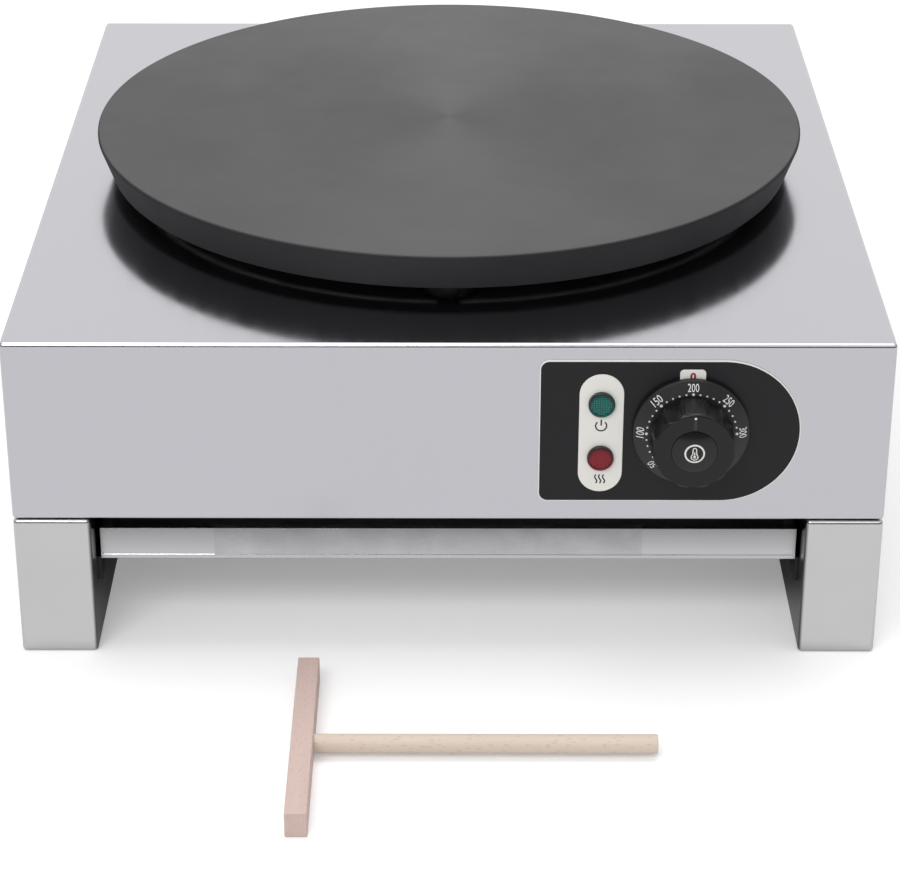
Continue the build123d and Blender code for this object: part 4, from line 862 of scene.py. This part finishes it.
def makeLensPrisms():
    # a grid of small domes inside a circle, on the plane Z = 0
    tree, given, result = newForm("lensPrisms", {
        "Count": 9, "Pitch": 1.2, "Circle": 5.0, "DomeRadius": 0.5, "DomeHeight": 0.3,
    })
    side = calc(tree, "MULTIPLY", given["Pitch"], calc(tree, "SUBTRACT", given["Count"], 1))
    grid = squareGrid(tree, side, side, given["Count"], given["Count"])
    reach = vectorCalc(tree, "LENGTH", "Value", put(tree, "GeometryNodeInputPosition").outputs[0])
    kept = calc(tree, "LESS_THAN", reach, calc(tree, "SUBTRACT", given["Circle"], given["DomeRadius"]))
    dome = put(tree, "GeometryNodeMeshIcoSphere", {"Radius": 1.0, "Subdivisions": 2}).outputs["Mesh"]
    scale = combined(tree, given["DomeRadius"], given["DomeRadius"], given["DomeHeight"])
    domes = put(tree, "GeometryNodeInstanceOnPoints", {
        "Points": grid, "Selection": kept, "Instance": dome, "Scale": scale,
    }).outputs[0]
    return formed(tree, given, result, domes)


turnedForm = makeTurnedForm()
copiesOnPoints = makeCopies()
dialDots = makeDialDots()
lensPrisms = makeLensPrisms()


def turned(profile, finish, segments=96, **inputs):
    # profile: closed round the form or from axis to axis, as (radius, height) points
    line = bpy.data.meshes.new("profile")
    count = len(profile)
    line.from_pydata([(r, 0, h) for r, h in profile], [(k, k + 1) for k in range(count - 1)], [])
    mesh = grow(turnedForm, line, {"Segments": segments, "Material": finishes[finish], **inputs})
    return tidyMesh(mesh)


def copied(places, shape, finish):
    points = bpy.data.meshes.new("places")
    points.from_pydata(places, [], [])
    part = newHelper(shape)
    mesh = grow(copiesOnPoints, points, {"Shape": part, "Material": finishes[finish]})
    bpy.data.objects.remove(part)
    return mesh


def around(radius, count, level):
    # the first one at the front
    return [(radius * sin(tau * k / count), -radius * cos(tau * k / count), level) for k in range(count)]


# casing

casingLook = {"fold": 2.2, "rimFold": 1.6, "sideFlange": 56, "endFlange": 16, "sheet": 1.2}
casingLow, casingHigh = nodeBox("casing")
newPiece("casingShell", foldedBox(casingLow, casingHigh, casingLook), "casing_steel", "base", "casing_steel",
         "casing", brush="y", sharp=50)
print("casing")

# legs

legLook = {
    "fold": 2.4, "rimFold": 2.0, "sideFlange": 7, "endFlange": 28, "sheet": 1.2,
    "footHole": 3.25, "footInset": 14, "drill": (-1, 3), "topGap": 0.8,
}
for side in ("left", "right"):
    low, high = nodeBox(f"{side}_leg")
    high.z -= legLook["topGap"]
    leg = foldedBox(low, high, legLook)
    middle = (low.x + high.x) / 2
    holes = [(middle, low.y + legLook["footInset"]), (middle, high.y - legLook["footInset"])]
    leg = drilled(leg, holes, legLook["footHole"], *legLook["drill"])
    newPiece(f"{side}Leg", leg, "leg_steel", "base", "leg_steel", f"{side}_leg", brush="y", sharp=50)
print("legs")

# griddle and its posts

griddleLook = {
    "footRadius": 193, "land": 2, "edge": 1.5, "footEdge": 1.2, "hollowRadius": 180, "web": 8,
    "hollowEdge": 0.4, "webEdge": 0.8, "bossRadius": 16, "bossEdge": 0.6, "bossDrop": 7, "segments": 240,
}
postLook = {"circle": 160, "count": 3, "edge": 0.8, "segments": 64}
griddleLow, griddleHigh = nodeBox("griddle_plate")
griddleRadius = griddleHigh.x


def griddleProfile():
    top, bottom = griddleHigh.z, griddleLow.z
    web = top - griddleLook["web"]
    hollow = griddleLook["hollowRadius"]
    return roundedLine([
        (0, top, 0), (griddleRadius * 0.5, top, 0), (griddleRadius * 0.9, top, 0),
        (griddleRadius, top, griddleLook["edge"]), (griddleRadius, top - griddleLook["land"], 0),
        (griddleLook["footRadius"], bottom, griddleLook["footEdge"]),
        (hollow, bottom, griddleLook["hollowEdge"]), (hollow, web, griddleLook["webEdge"]),
        (hollow / 2, web, 0), (0, web, 0),
    ])


def edgedRod(radius, low, high, edge):
    return roundedLine([(0, low, 0), (radius, low, edge), (radius, high, edge), (0, high, 0)], steps=3)


griddle = turned(griddleProfile(), "griddle_iron", griddleLook["segments"])
bossRise = griddleHigh.z - griddleLow.z - griddleLook["bossDrop"]
boss = turned(edgedRod(griddleLook["bossRadius"], 0, bossRise, griddleLook["bossEdge"]), "griddle_iron", 48)
bosses = copied(around(postLook["circle"], postLook["count"], griddleLow.z), boss, "griddle_iron")
newPiece("griddlePlate", together(griddle, bosses), "griddle_iron", "base", "griddle_iron", "griddle_plate")

postLow, postHigh = nodeBox("support_posts")
postRadius = -postLow.y - postLook["circle"]
postLine = edgedRod(postRadius, 0, postHigh.z - postLow.z, postLook["edge"])
post = turned(postLine, "post_metal", postLook["segments"])
posts = copied(around(postLook["circle"], postLook["count"], postLow.z), post, "post_metal")
newPiece("supportPosts", posts, "post_metal", "base", "post_metal", "support_posts")
print("griddle")

# control panel, lamp plate and index tab

panelLook = {
    "corner": 5, "outline": 0.6, "edge": 0.25, "steps": 24,
    "inlay": 0.04, "faceSheet": 0.5, "faceEdge": 0.05,    # the black face stands out by the inlay
}
panelLow, panelHigh = nodeBox("control_panel")
panelFace = panelLow.y
panelEnd, panelCorner = (panelHigh.z - panelLow.z) / 2, panelLook["corner"]
panelOutline = frontOutline(
    panelLow, panelHigh, [panelEnd, panelCorner, panelCorner, panelEnd], panelLook["steps"])
backing = plate(panelOutline, panelFace, panelHigh.y - panelLow.y, panelLook["edge"])
newPiece("panelEdge", backing, "plate_white", "base", "plate_white", "control_panel")
sheet = plate(lambda inset: panelOutline(panelLook["outline"] + inset), panelFace - panelLook["inlay"],
              panelLook["faceSheet"], panelLook["faceEdge"])
newPiece("panelFace", sheet, "panel_black", "base", "panel_black", "control_panel")

plateLook = {"edge": 0.35, "steps": 16}
plateLow, plateHigh = nodeBox("lamp_plate")
plateOutline = frontOutline(plateLow, plateHigh, [(plateHigh.x - plateLow.x) / 2] * 4, plateLook["steps"])
lampPlate = plate(plateOutline, plateLow.y, plateHigh.y - plateLow.y, plateLook["edge"])
newPiece("lampPlate", lampPlate, "plate_white", "base", "plate_white", "lamp_plate")

tabLook = {"corner": 2, "edge": 0.2, "markWidth": 3.0, "markHeight": 5.2, "markLine": 1.0, "markDrop": 3.6}
tabLow, tabHigh = nodeBox("index_tab")
tabOutline = frontOutline(tabLow, tabHigh, [tabLook["corner"]] * 4, 6)
tab = plate(tabOutline, tabLow.y, tabHigh.y - tabLow.y, tabLook["edge"])
newPiece("indexTab", tab, "plate_white", "base", "plate_white", "index_tab")


def printed(strokes, front, width, thickness=0.04):
    # thin raised ink: strokes through lists of (x, z) points, with flat ends
    meshes = []
    for points in strokes:
        points = [Vector(point) for point in points]
        closed = (points[0] - points[-1]).length < 1e-4
        left, right = [], []
        for k, here in enumerate(points):
            last = len(points) - 1
            if closed:
                before, after = points[k - 1 if k else -2], points[k + 1 if k < last else 1]
            else:
                before, after = points[max(k - 1, 0)], points[min(k + 1, last)]
            along = (after - before).normalized()
            side = Vector((-along.y, along.x)) * width / 2
            left.append(here + side)
            right.append(here - side)
        shape = bmesh.new()
        backLeft, backRight, frontLeft, frontRight = [
            [shape.verts.new((p.x, front + depth, p.y)) for p in line]
            for depth in (0, -thickness) for line in (left, right)
        ]
        walls = (
            (frontLeft, frontRight), (backRight, backLeft), (backLeft, frontLeft), (frontRight, backRight),
        )
        for k in range(len(points) - 1):
            for a, b in walls:
                shape.faces.new((a[k], a[k + 1], b[k + 1], b[k]))
        if not closed:
            for k in (0, -1):
                shape.faces.new((backLeft[k], frontLeft[k], frontRight[k], backRight[k]))
        meshes.append(tidy(shape))
    return together(*meshes)


def arc(centre, radius, start, end, steps=24, stretch=1.0):
    # degrees, clockwise from the top
    points = []
    for k in range(steps + 1):
        angle = radians(start + (end - start) * k / steps)
        points.append((centre[0] + radius * sin(angle), centre[1] + radius * cos(angle) * stretch))
    return points


tabMiddle = ((tabLow.x + tabHigh.x) / 2, tabHigh.z - tabLook["markDrop"])
markStretch = tabLook["markHeight"] / tabLook["markWidth"]
markRing = arc(tabMiddle, tabLook["markWidth"] / 2 - tabLook["markLine"] / 2, 0, 360, 24, markStretch)
mark = printed([markRing], tabLow.y, tabLook["markLine"])
newPiece("indexMark", mark, "printRed", "base", "plate_white")

iconLook = {
    "radius": 2.8, "gap": 42, "stroke": 0.75, "drop": 12.4, "barFoot": 0.2, "barTop": 1.25,
    "waves": (-2.0, 0, 2.0), "sway": 0.55, "waveHeight": 5, "waveSteps": 12,
}
lampX = (plateLow.x + plateHigh.x) / 2
powerLevel = sum(part.z for part in nodeBox("power_lamp_lens")) / 2
heatLevel = sum(part.z for part in nodeBox("heat_lamp_lens")) / 2


def powerIcon(level):
    centre = (lampX, level)
    ring = arc(centre, iconLook["radius"], iconLook["gap"], 360 - iconLook["gap"])
    barTop = level + iconLook["radius"] * iconLook["barTop"]
    return [ring, [(lampX, level + iconLook["barFoot"]), (lampX, barTop)]]


def heatIcon(level):
    steps, rise, sway = iconLook["waveSteps"], iconLook["waveHeight"], iconLook["sway"]
    return [
        [(lampX + offset + sway * sin(tau * k / steps), level - rise / 2 + rise * k / steps)
         for k in range(steps + 1)]
        for offset in iconLook["waves"]
    ]


icons = together(
    printed(powerIcon(powerLevel - iconLook["drop"]), plateLow.y, iconLook["stroke"]),
    printed(heatIcon(heatLevel - iconLook["drop"]), plateLow.y, iconLook["stroke"]),
)
newPiece("lampIcons", icons, "printBlack", "base", "plate_white")
print("control panel")

# lamps

lensLook = {
    "wall": 1.1, "recess": 0.7, "edge": 0.5, "innerEdge": 0.25, "floorEdge": 0.1,
    "pitch": 1.25, "domes": 9, "domeRadius": 0.52, "domeHeight": 0.4, "domeReach": 0.2,
    "glow": 0.05, "crescent": 1.8, "paintedLightEdge": (0.7, 1.12), "cloudShare": 0.8, "coat": 0.25, "coatRough": 0.04,
    "rough": 0.3, "shine": 0.3, "grain": 3000.0, "cloud": 160.0, "depth": 0.002,
}
lensColours = {"green": ("01201c", "024a43", "1a7c70"), "red": ("2a050a", "6c0d17", "96222e")}


def frontPlace(x, y, z):
    # turns a form made round Z so that it looks forward from a place on the front
    return Matrix.Translation((x, y, z)) @ Matrix(((1, 0, 0, 0), (0, 0, -1, 0), (0, 1, 0, 0), (0, 0, 0, 1)))


def lensFinish(name, low, high, centre, radius):
    # tinted clear plastic, with painted shade: a deep colour at the rim and above, for the rim's shadow in
    # the recess, and a lighter colour below
    material, tree, shader = newFinish(name, {
        "Coat Weight": lensLook["coat"], "Coat Roughness": lensLook["coatRough"],
        "Roughness": lensLook["rough"], "Specular IOR Level": lensLook["shine"],
        "Emission Strength": lensLook["glow"],
    })
    where = coordinates(tree)
    effect = effectOf(tree, "fineSkin", where, Grain=lensLook["grain"], Cloud=lensLook["cloud"])
    heart = Vector(centre) * mm - Vector((0, 0, lensLook["crescent"] * mm))
    flat = stretched(tree, where, 1, 0, 1)
    reach = vectorCalc(tree, "DISTANCE", "Value", flat, stretched(tree, heart, 1, 0, 1))
    start, end = (radius * mm * share for share in lensLook["paintedLightEdge"])
    paintedLight = spread(tree, reach, 1, 0, start, end, "SMOOTHSTEP")
    paintedLight = calc(tree, "MULTIPLY", paintedLight, spread(tree, effect["Clouds"], lensLook["cloudShare"], 1))
    colour = blendColour(tree, paintedLight, paint(low), paint(high))
    join(tree, colour, shader, "Base Color")
    join(tree, colour, shader, "Emission Color")
    join(tree, bumped(tree, effect["Grain"], lensLook["depth"]), shader, "Normal")
    return material


for lamp, tint in (("power", "green"), ("heat", "red")):
    node, lensName, domeName = f"{lamp}_lamp_lens", f"lens_{tint}", f"prism_{tint}"
    low, high = nodeBox(node)
    radius, height = (high.x - low.x) / 2, high.y - low.y
    deep, clear, bright = lensColours[tint]
    # painted light and shade: the cup takes the darker pair of tints and the domes the lighter pair, for
    # shade at the rim and light on the domes
    finishes[lensName] = lensFinish(lensName, deep, clear, (low + high) / 2, radius)
    finishes[domeName] = lensFinish(domeName, clear, bright, (low + high) / 2, radius)
    face, floorLevel = radius - lensLook["wall"], height - lensLook["recess"]
    cup = turned(roundedLine([
        (0, 0, 0), (radius, 0, 0), (radius, height, lensLook["edge"]), (face, height, lensLook["innerEdge"]),
        (face, floorLevel, lensLook["floorEdge"]), (0, floorLevel, 0),
    ]), lensName, 64)
    domes = grow(lensPrisms, bpy.data.meshes.new("seed"), {
        "Count": lensLook["domes"], "Pitch": lensLook["pitch"], "Circle": face + lensLook["domeReach"],
        "DomeRadius": lensLook["domeRadius"], "DomeHeight": lensLook["domeHeight"],
        "Material": finishes[domeName],
    })
    domes.transform(Matrix.Translation((0, 0, floorLevel)))
    lensPlace = frontPlace((low.x + high.x) / 2, high.y, (low.z + high.z) / 2)
    newPiece(f"{lamp}Lens", placed(cup, lensPlace), lensName, "base", lensName, node)
    newPiece(f"{lamp}Prisms", placed(domes, lensPlace), domeName, "base", lensName, node)
print("lamps")

# knob

dialLook = {"rimFace": 3.8, "face": 6.6, "flatRadius": 22.5, "standoff": 1.3, "lip": 1.5, "underside": 2.7,
            "edge": 0.5, "footEdge": 0.2}
gripLook = {
    "baseRadius": 21.4, "radius": 20.8, "face": 25.0, "edge": 1.4, "flatRadius": 17.0, "sink": 0.3,
    "seat": 11.4, "seatEdge": 0.2, "recess": 1.0,
    "flutes": 12, "fluteRadius": 8.0, "fluteDepth": 1.7, "softness": 0.7, "segments": 360,
    "grooveWidth": 2.4, "grooveDepth": 0.5, "grooveStart": 10, "grooveEnd": 30,
    "pointerWidth": 11.0, "pointerRoot": 15.5, "pointerTop": 20.9, "pointerStep": 0.8, "pointerEdge": 0.5,
    "pointerSink": 0.2, "lineWidth": 1.9, "lineGaps": (0.1, 1.6), "lineFoot": 0.6, "lineRise": 0.1,
}
capLook = {"radius": 11.3, "recess": 1.0, "edge": 0.3, "dome": 2.2, "steps": 10}
dialLow, dialHigh = nodeBox("knob_dial")
knobX = (dialLow.x + dialHigh.x) / 2
knobLevel = (dialLow.z + dialHigh.z) / 2
dialRadius = (dialHigh.x - dialLow.x) / 2
knobPlace = frontPlace(knobX, panelFace, knobLevel)

dialFace, standoff, underside = dialLook["face"], dialLook["standoff"], dialLook["underside"]
lipRadius = dialRadius - dialLook["lip"]
dial = turned(roundedLine([
    (0, dialFace, 0), (dialLook["flatRadius"], dialFace, 0),
    (dialRadius, dialLook["rimFace"], dialLook["edge"]), (dialRadius, standoff, dialLook["footEdge"]),
    (lipRadius, standoff, 0), (lipRadius, underside, 0), (0, underside, 0),
]), "knob_black", 180)
newPiece("knobDial", placed(dial, knobPlace), "dialBlack", "knob", "knob_black", "knob_dial", sharp=20)

gripFace, baseRadius, seat = gripLook["face"], gripLook["baseRadius"], gripLook["seat"]
gripFoot, seatLevel = dialFace - gripLook["sink"], gripFace - gripLook["recess"]
fluteCentre = baseRadius + gripLook["fluteRadius"] - gripLook["fluteDepth"]
gripLine = roundedLine([
    (0, gripFoot, 0), (baseRadius, gripFoot, 0), (baseRadius, dialFace, 0),
    (gripLook["radius"], gripFace, gripLook["edge"]), (gripLook["flatRadius"], gripFace, 0),
    (seat, gripFace, gripLook["seatEdge"]), (seat, seatLevel, 0), (0, seatLevel, 0),
], steps=6)
grip = turned(gripLine, "knob_black", gripLook["segments"], Flutes=gripLook["flutes"],
              FluteRadius=gripLook["fluteRadius"], FluteCentre=fluteCentre, Softness=gripLook["softness"])
halfGroove, grooveEnd = gripLook["grooveWidth"] / 2, gripLook["grooveEnd"]
grooveFloor = gripFace - gripLook["grooveDepth"]
groove = block((-halfGroove, gripLook["grooveStart"], grooveFloor), (halfGroove, grooveEnd, grooveEnd))
grip = cutAway(grip, groove)
newPiece("knobGrip", placed(grip, knobPlace), "knob_black", "knob", "knob_black", "knob_grip", sharp=30)

halfWidth = gripLook["pointerWidth"] / 2
pointer = block(
    (-halfWidth, gripLook["pointerRoot"], dialFace - gripLook["pointerSink"]),
    (halfWidth, gripLook["pointerTop"], gripFace - gripLook["pointerStep"]),
)
pointer = refine(pointer, ("BEVEL", {"width": gripLook["pointerEdge"], "segments": 3}))
newPiece("knobPointer", placed(pointer, knobPlace), "knob_black", "knob", "knob_black", "knob_grip")

# painted light: a lighter grey strip in the groove, for the lit floor of the pointer groove
halfLine, (startGap, endGap) = gripLook["lineWidth"] / 2, gripLook["lineGaps"]
line = block(
    (-halfLine, seat + startGap, gripFace - gripLook["lineFoot"]),
    (halfLine, gripLook["pointerTop"] - endGap, grooveFloor + gripLook["lineRise"]),
)
newPiece("pointerLine", placed(line, knobPlace), "lineGrey", "knob", "knob_black", "knob_grip")

capRadius, capSteps, capFoot = capLook["radius"], capLook["steps"], gripFace - capLook["recess"]
domeRise = capLook["dome"] - capLook["edge"]
domeSphere = (capRadius ** 2 + domeRise ** 2) / (2 * domeRise)
domeTop = gripFace + capLook["dome"]


def domeHeight(reach):
    return domeTop - domeSphere + (domeSphere ** 2 - reach ** 2) ** 0.5


reaches = [capRadius * k / capSteps for k in range(capSteps + 1)]
capLine = [(reach, domeHeight(reach)) for reach in reaches] + [(capRadius, capFoot), (0, capFoot)]
cap = turned(capLine, "knob_black", 96)
newPiece("knobCap", placed(cap, knobPlace), "capBlack", "knob", "knob_black", "knob_cap", sharp=30)
print("knob")

# printing on the dial and the cap

dialPrint = {
    "numbers": {"50": -132, "100": -88, "150": -44, "200": 0, "250": 44, "300": 88},
    "circle": 26.0, "height": 4.2, "width": 5.7, "narrowing": 0.9, "ink": 0.05, "stand": 0.02,
    "dotCircle": 22.9, "dotStart": -176.0, "dotStep": 8.8, "dots": 31, "dotRadius": 0.5, "bigRadius": 0.76,
    "dotInk": 0.08,
}


def textMesh(words, width, height, thickness):
    # lettering centred on the origin and brought to a width and height
    curve = bpy.data.curves.new(words, "FONT")
    curve.body = words
    curve.align_x = "CENTER"
    curve.align_y = "CENTER"
    curve.extrude = thickness / 2
    curve.resolution_u = 4
    mesh = asMesh(newHelper(curve))
    points = [vertex.co for vertex in mesh.vertices]
    low = [min(point[k] for point in points) for k in (0, 1)]
    high = [max(point[k] for point in points) for k in (0, 1)]
    mesh.transform(Matrix.Translation((-(low[0] + high[0]) / 2, -(low[1] + high[1]) / 2, 0)))
    mesh.transform(Matrix.Diagonal((width / (high[0] - low[0]), height / (high[1] - low[1]), 1, 1)))
    return tidyMesh(mesh)


def dialHeight(radius):
    # the dial's face at a distance from its axis
    share = max(radius - dialLook["flatRadius"], 0) / (dialRadius - dialLook["flatRadius"])
    return dialLook["face"] + (dialLook["rimFace"] - dialLook["face"]) * share


faceSlope = (dialLook["face"] - dialLook["rimFace"]) / (dialRadius - dialLook["flatRadius"])
figures = []
for words, angle in dialPrint["numbers"].items():
    width = dialPrint["width"] * (len(words) / 3) ** dialPrint["narrowing"]
    figure = textMesh(words, width, dialPrint["height"], dialPrint["ink"])
    level = dialHeight(dialPrint["circle"]) + dialPrint["stand"]
    figure.transform(Matrix.Rotation(-faceSlope, 4, "X"))
    figure.transform(Matrix.Translation((0, dialPrint["circle"], level)))
    figure.transform(Matrix.Rotation(-radians(angle), 4, "Z"))
    figures.append(figure)
dots = grow(dialDots, bpy.data.meshes.new("seed"), {
    "Count": dialPrint["dots"], "Start": dialPrint["dotStart"], "Step": dialPrint["dotStep"],
    "Circle": dialPrint["dotCircle"], "Height": dialLook["face"], "DotRadius": dialPrint["dotRadius"],
    "BigRadius": dialPrint["bigRadius"], "Thickness": dialPrint["dotInk"], "Material": finishes["printWhite"],
})
newPiece("dialPrint", placed(together(*figures, dots), knobPlace), "printWhite", "knob", "knob_black")

capIcon = {
    "ring": 4.7, "line": 0.85, "thin": 0.5, "stand": 0.01, "stem": 0.85, "bulb": 1.25, "wall": 0.45,
    "top": 2.4, "low": -1.7, "opening": 38, "fillTop": 1.0, "fill": 0.42,
}


def thermometer():
    # an outline of a stem with a bulb, and the filling inside it
    low, bulb, opening = (0, capIcon["low"]), capIcon["bulb"], capIcon["opening"]
    outline = arc((0, capIcon["top"]), capIcon["stem"], -90, 90, 8)
    outline += arc(low, bulb + capIcon["wall"], opening, 360 - opening, 20)
    filling = [[(0, capIcon["fillTop"]), low], arc(low, bulb * capIcon["fill"], 0, 360, 12)]
    return [outline + [outline[0]]], filling


def onDome(mesh):
    # lays flat ink on the cap's dome
    for vertex in mesh.vertices:
        vertex.co.y -= domeHeight(min(Vector((vertex.co.x, vertex.co.z)).length, capRadius))
    return mesh


outlines, filling = thermometer()
ring = [arc((0, 0), capIcon["ring"], 0, 360, 64)]
inks = ((ring, capIcon["line"]), (outlines, capIcon["thin"]), (filling, capIcon["thin"]))
icon = together(*(onDome(printed(strokes, capIcon["stand"], width)) for strokes, width in inks))
icon.transform(Matrix.Translation((knobX, panelFace, knobLevel)))
newPiece("capIcon", icon, "printWhite", "knob", "knob_black")

dotLook = {"radius": 0.62, "height": 0.12, "edge": 0.03, "circle": 18.6, "sink": 0.07}
pointerDot = turned(edgedRod(dotLook["radius"], 0, dotLook["height"], dotLook["edge"]), "printWhite", 24)
pointerDot.transform(Matrix.Translation((0, dotLook["circle"], gripFace - dotLook["sink"])))
newPiece("pointerDot", placed(pointerDot, knobPlace), "printWhite", "knob", "knob_black")
print("printing")

# drawer and runners

drawerLook = {
    "tray": {"fold": 1.2, "rimFold": 0, "sideFlange": 0, "endFlange": 0, "sheet": 1.0},
    "frontSheet": 1.0, "frontEdge": 0.3, "hemHeight": 2.6, "hemStand": 0.4, "hemNeck": 0.05,
    "hemEdges": (0.7, 0.9), "runnerEdge": 0.25,
    "pullSheet": 0.8, "pullEdge": 0.35, "pullRim": 0.2, "pullStep": 0.1, "pullFoot": 0.25,
}
trayLow, trayHigh = nodeBox("drawer_tray")
tray = foldedBox(trayLow, trayHigh, drawerLook["tray"], capUp=False)
newPiece("drawerTray", tray, "drawer_steel", "drawer", "drawer_steel", "drawer_tray", brush="x", sharp=50)

frontLow, frontHigh = nodeBox("drawer_front")
frontFace, frontEdge = frontHigh.y - drawerLook["frontSheet"], drawerLook["frontEdge"]
hemTop, stand = frontLow.z + drawerLook["hemHeight"], drawerLook["hemStand"]
upperEdge, lowerEdge = (stand * share for share in drawerLook["hemEdges"])
frontLine = roundedLine([
    (frontHigh.y, frontLow.z, frontEdge), (frontHigh.y, frontHigh.z, frontEdge),
    (frontFace, frontHigh.z, frontEdge), (frontFace, hemTop, drawerLook["hemNeck"]),
    (frontFace - stand, hemTop - stand, upperEdge), (frontFace - stand, frontLow.z, lowerEdge),
])
newPiece("drawerFront", swept(frontLine, frontLow.x, frontHigh.x), "drawer_steel", "drawer", "drawer_steel",
         "drawer_front", brush="x", sharp=50)

pullLow, pullHigh = nodeBox("drawer_pull")
pullFront, pullBack, pullRim = pullLow.y, pullLow.y + drawerLook["pullSheet"], drawerLook["pullRim"]
pullLine = roundedLine([
    (pullBack, pullLow.z, pullRim), (pullBack, frontHigh.z, 0),
    (pullHigh.y, frontHigh.z, drawerLook["pullStep"]), (pullHigh.y, pullHigh.z, pullRim),
    (pullFront, pullHigh.z, drawerLook["pullEdge"]), (pullFront, pullLow.z, drawerLook["pullFoot"]),
])
newPiece("drawerPull", swept(pullLine, pullLow.x, pullHigh.x), "pull_steel", "drawer", "pull_steel",
         "drawer_pull", brush="x", sharp=50)

for side in ("left", "right"):
    runner = softCopy(f"{side}_runner", drawerLook["runnerEdge"])
    newPiece(f"{side}Runner", runner, "runner_steel", "base", "drawer_steel", f"{side}_runner", brush="y")
print("drawer")

# cable gland at the back

glandLook = {
    "flats": 24, "flange": 6, "edge": 1.2, "innerBore": 6.0, "bore": 4.75,
    "capFlats": 23, "capHex": 10, "capFoot": 1.0, "capEdge": 1.4,
    "nose": 6, "noseRadius": 8.5, "noseFlare": 0.4, "noseFoot": 0.3, "noseEdge": 2.6,
}
capLow, capHigh = nodeBox("gland_cap")
glandX = (capLow.x + capHigh.x) / 2
glandLevel = (capLow.z + capHigh.z) / 2
backPlace = Matrix.Translation((glandX, casingHigh.y, glandLevel)) @ Matrix.Rotation(pi, 4, "Z")
backPlace = backPlace @ frontPlace(0, 0, 0)


def hexNut(flats, bore, segments, *parts):
    # a six-sided form round a bore: parts are (radius, height, rounding) of its outside
    foot, top = parts[0][1], parts[-1][1]
    line = roundedLine([(bore, foot, 0), *parts, (bore, top, 0)])
    return turned(line + [(bore, foot)], "gland_black", segments, Flats=6, FlatDistance=flats / 2)


flangeTop = glandLook["flange"]
corner, capCorner = (glandLook[flats] / 2 / cos(pi / 6) for flats in ("flats", "capFlats"))
flange = hexNut(glandLook["flats"], glandLook["innerBore"], 72,
                (corner, 0, 0), (corner, flangeTop, glandLook["edge"]))
newPiece("glandBody", placed(flange, backPlace), "gland_black", "base", "gland_black", "cable_gland")
hexTop, noseRadius = flangeTop + glandLook["capHex"], glandLook["noseRadius"]
nut = hexNut(glandLook["capFlats"], glandLook["bore"], 96,
             (capCorner, flangeTop, glandLook["capFoot"]), (capCorner, hexTop, glandLook["capEdge"]),
             (noseRadius + glandLook["noseFlare"], hexTop, glandLook["noseFoot"]),
             (noseRadius, hexTop + glandLook["nose"], glandLook["noseEdge"]))
newPiece("glandCap", placed(nut, backPlace), "gland_black", "base", "gland_black", "gland_cap")
print("gland")

# spreader

spreaderLook = {"edge": 0.7, "handleEdge": 0.7, "sink": 5.0}
headLow, headHigh = nodeBox("spreader_head")
head = refine(block(headLow, headHigh), ("BEVEL", {"width": spreaderLook["edge"], "segments": 3}))
headPiece = newPiece("spreaderHead", head, "beechHead", "spreader", "beech", "spreader_head")
handleLow, handleHigh = nodeBox("spreader_handle")
handleRadius = (handleHigh.y - handleLow.y) / 2
handleMiddle = ((handleLow.y + handleHigh.y) / 2, (handleLow.z + handleHigh.z) / 2)
handleStart = headHigh.x - spreaderLook["sink"]
handleLine = edgedRod(handleRadius, handleStart, handleHigh.x, spreaderLook["handleEdge"])
handle = turned(handleLine, "beechHandle", 64)
handle.transform(Matrix.Translation((0, *handleMiddle)) @ Matrix.Rotation(pi / 2, 4, "Y"))
handlePiece = newPiece("spreaderHandle", handle, "beechHandle", "spreader", "beech", "spreader_handle")
for piece in (headPiece, handlePiece):
    piece.visible_glossy = False
print("spreader")

# nodes that keep their own shape

for part in frame["record"]["subparts"]:
    node = frame["nodes"][part["node"]]
    slot = part["material_slot"]
    if not node.hide_render:
        name = slot if slot in finishes else "inner_steel"
        name = {"drawer_steel": "inner_steel"}.get(name, name)
        for holder in node.material_slots:
            holder.material = finishes[name]
print("kept nodes")
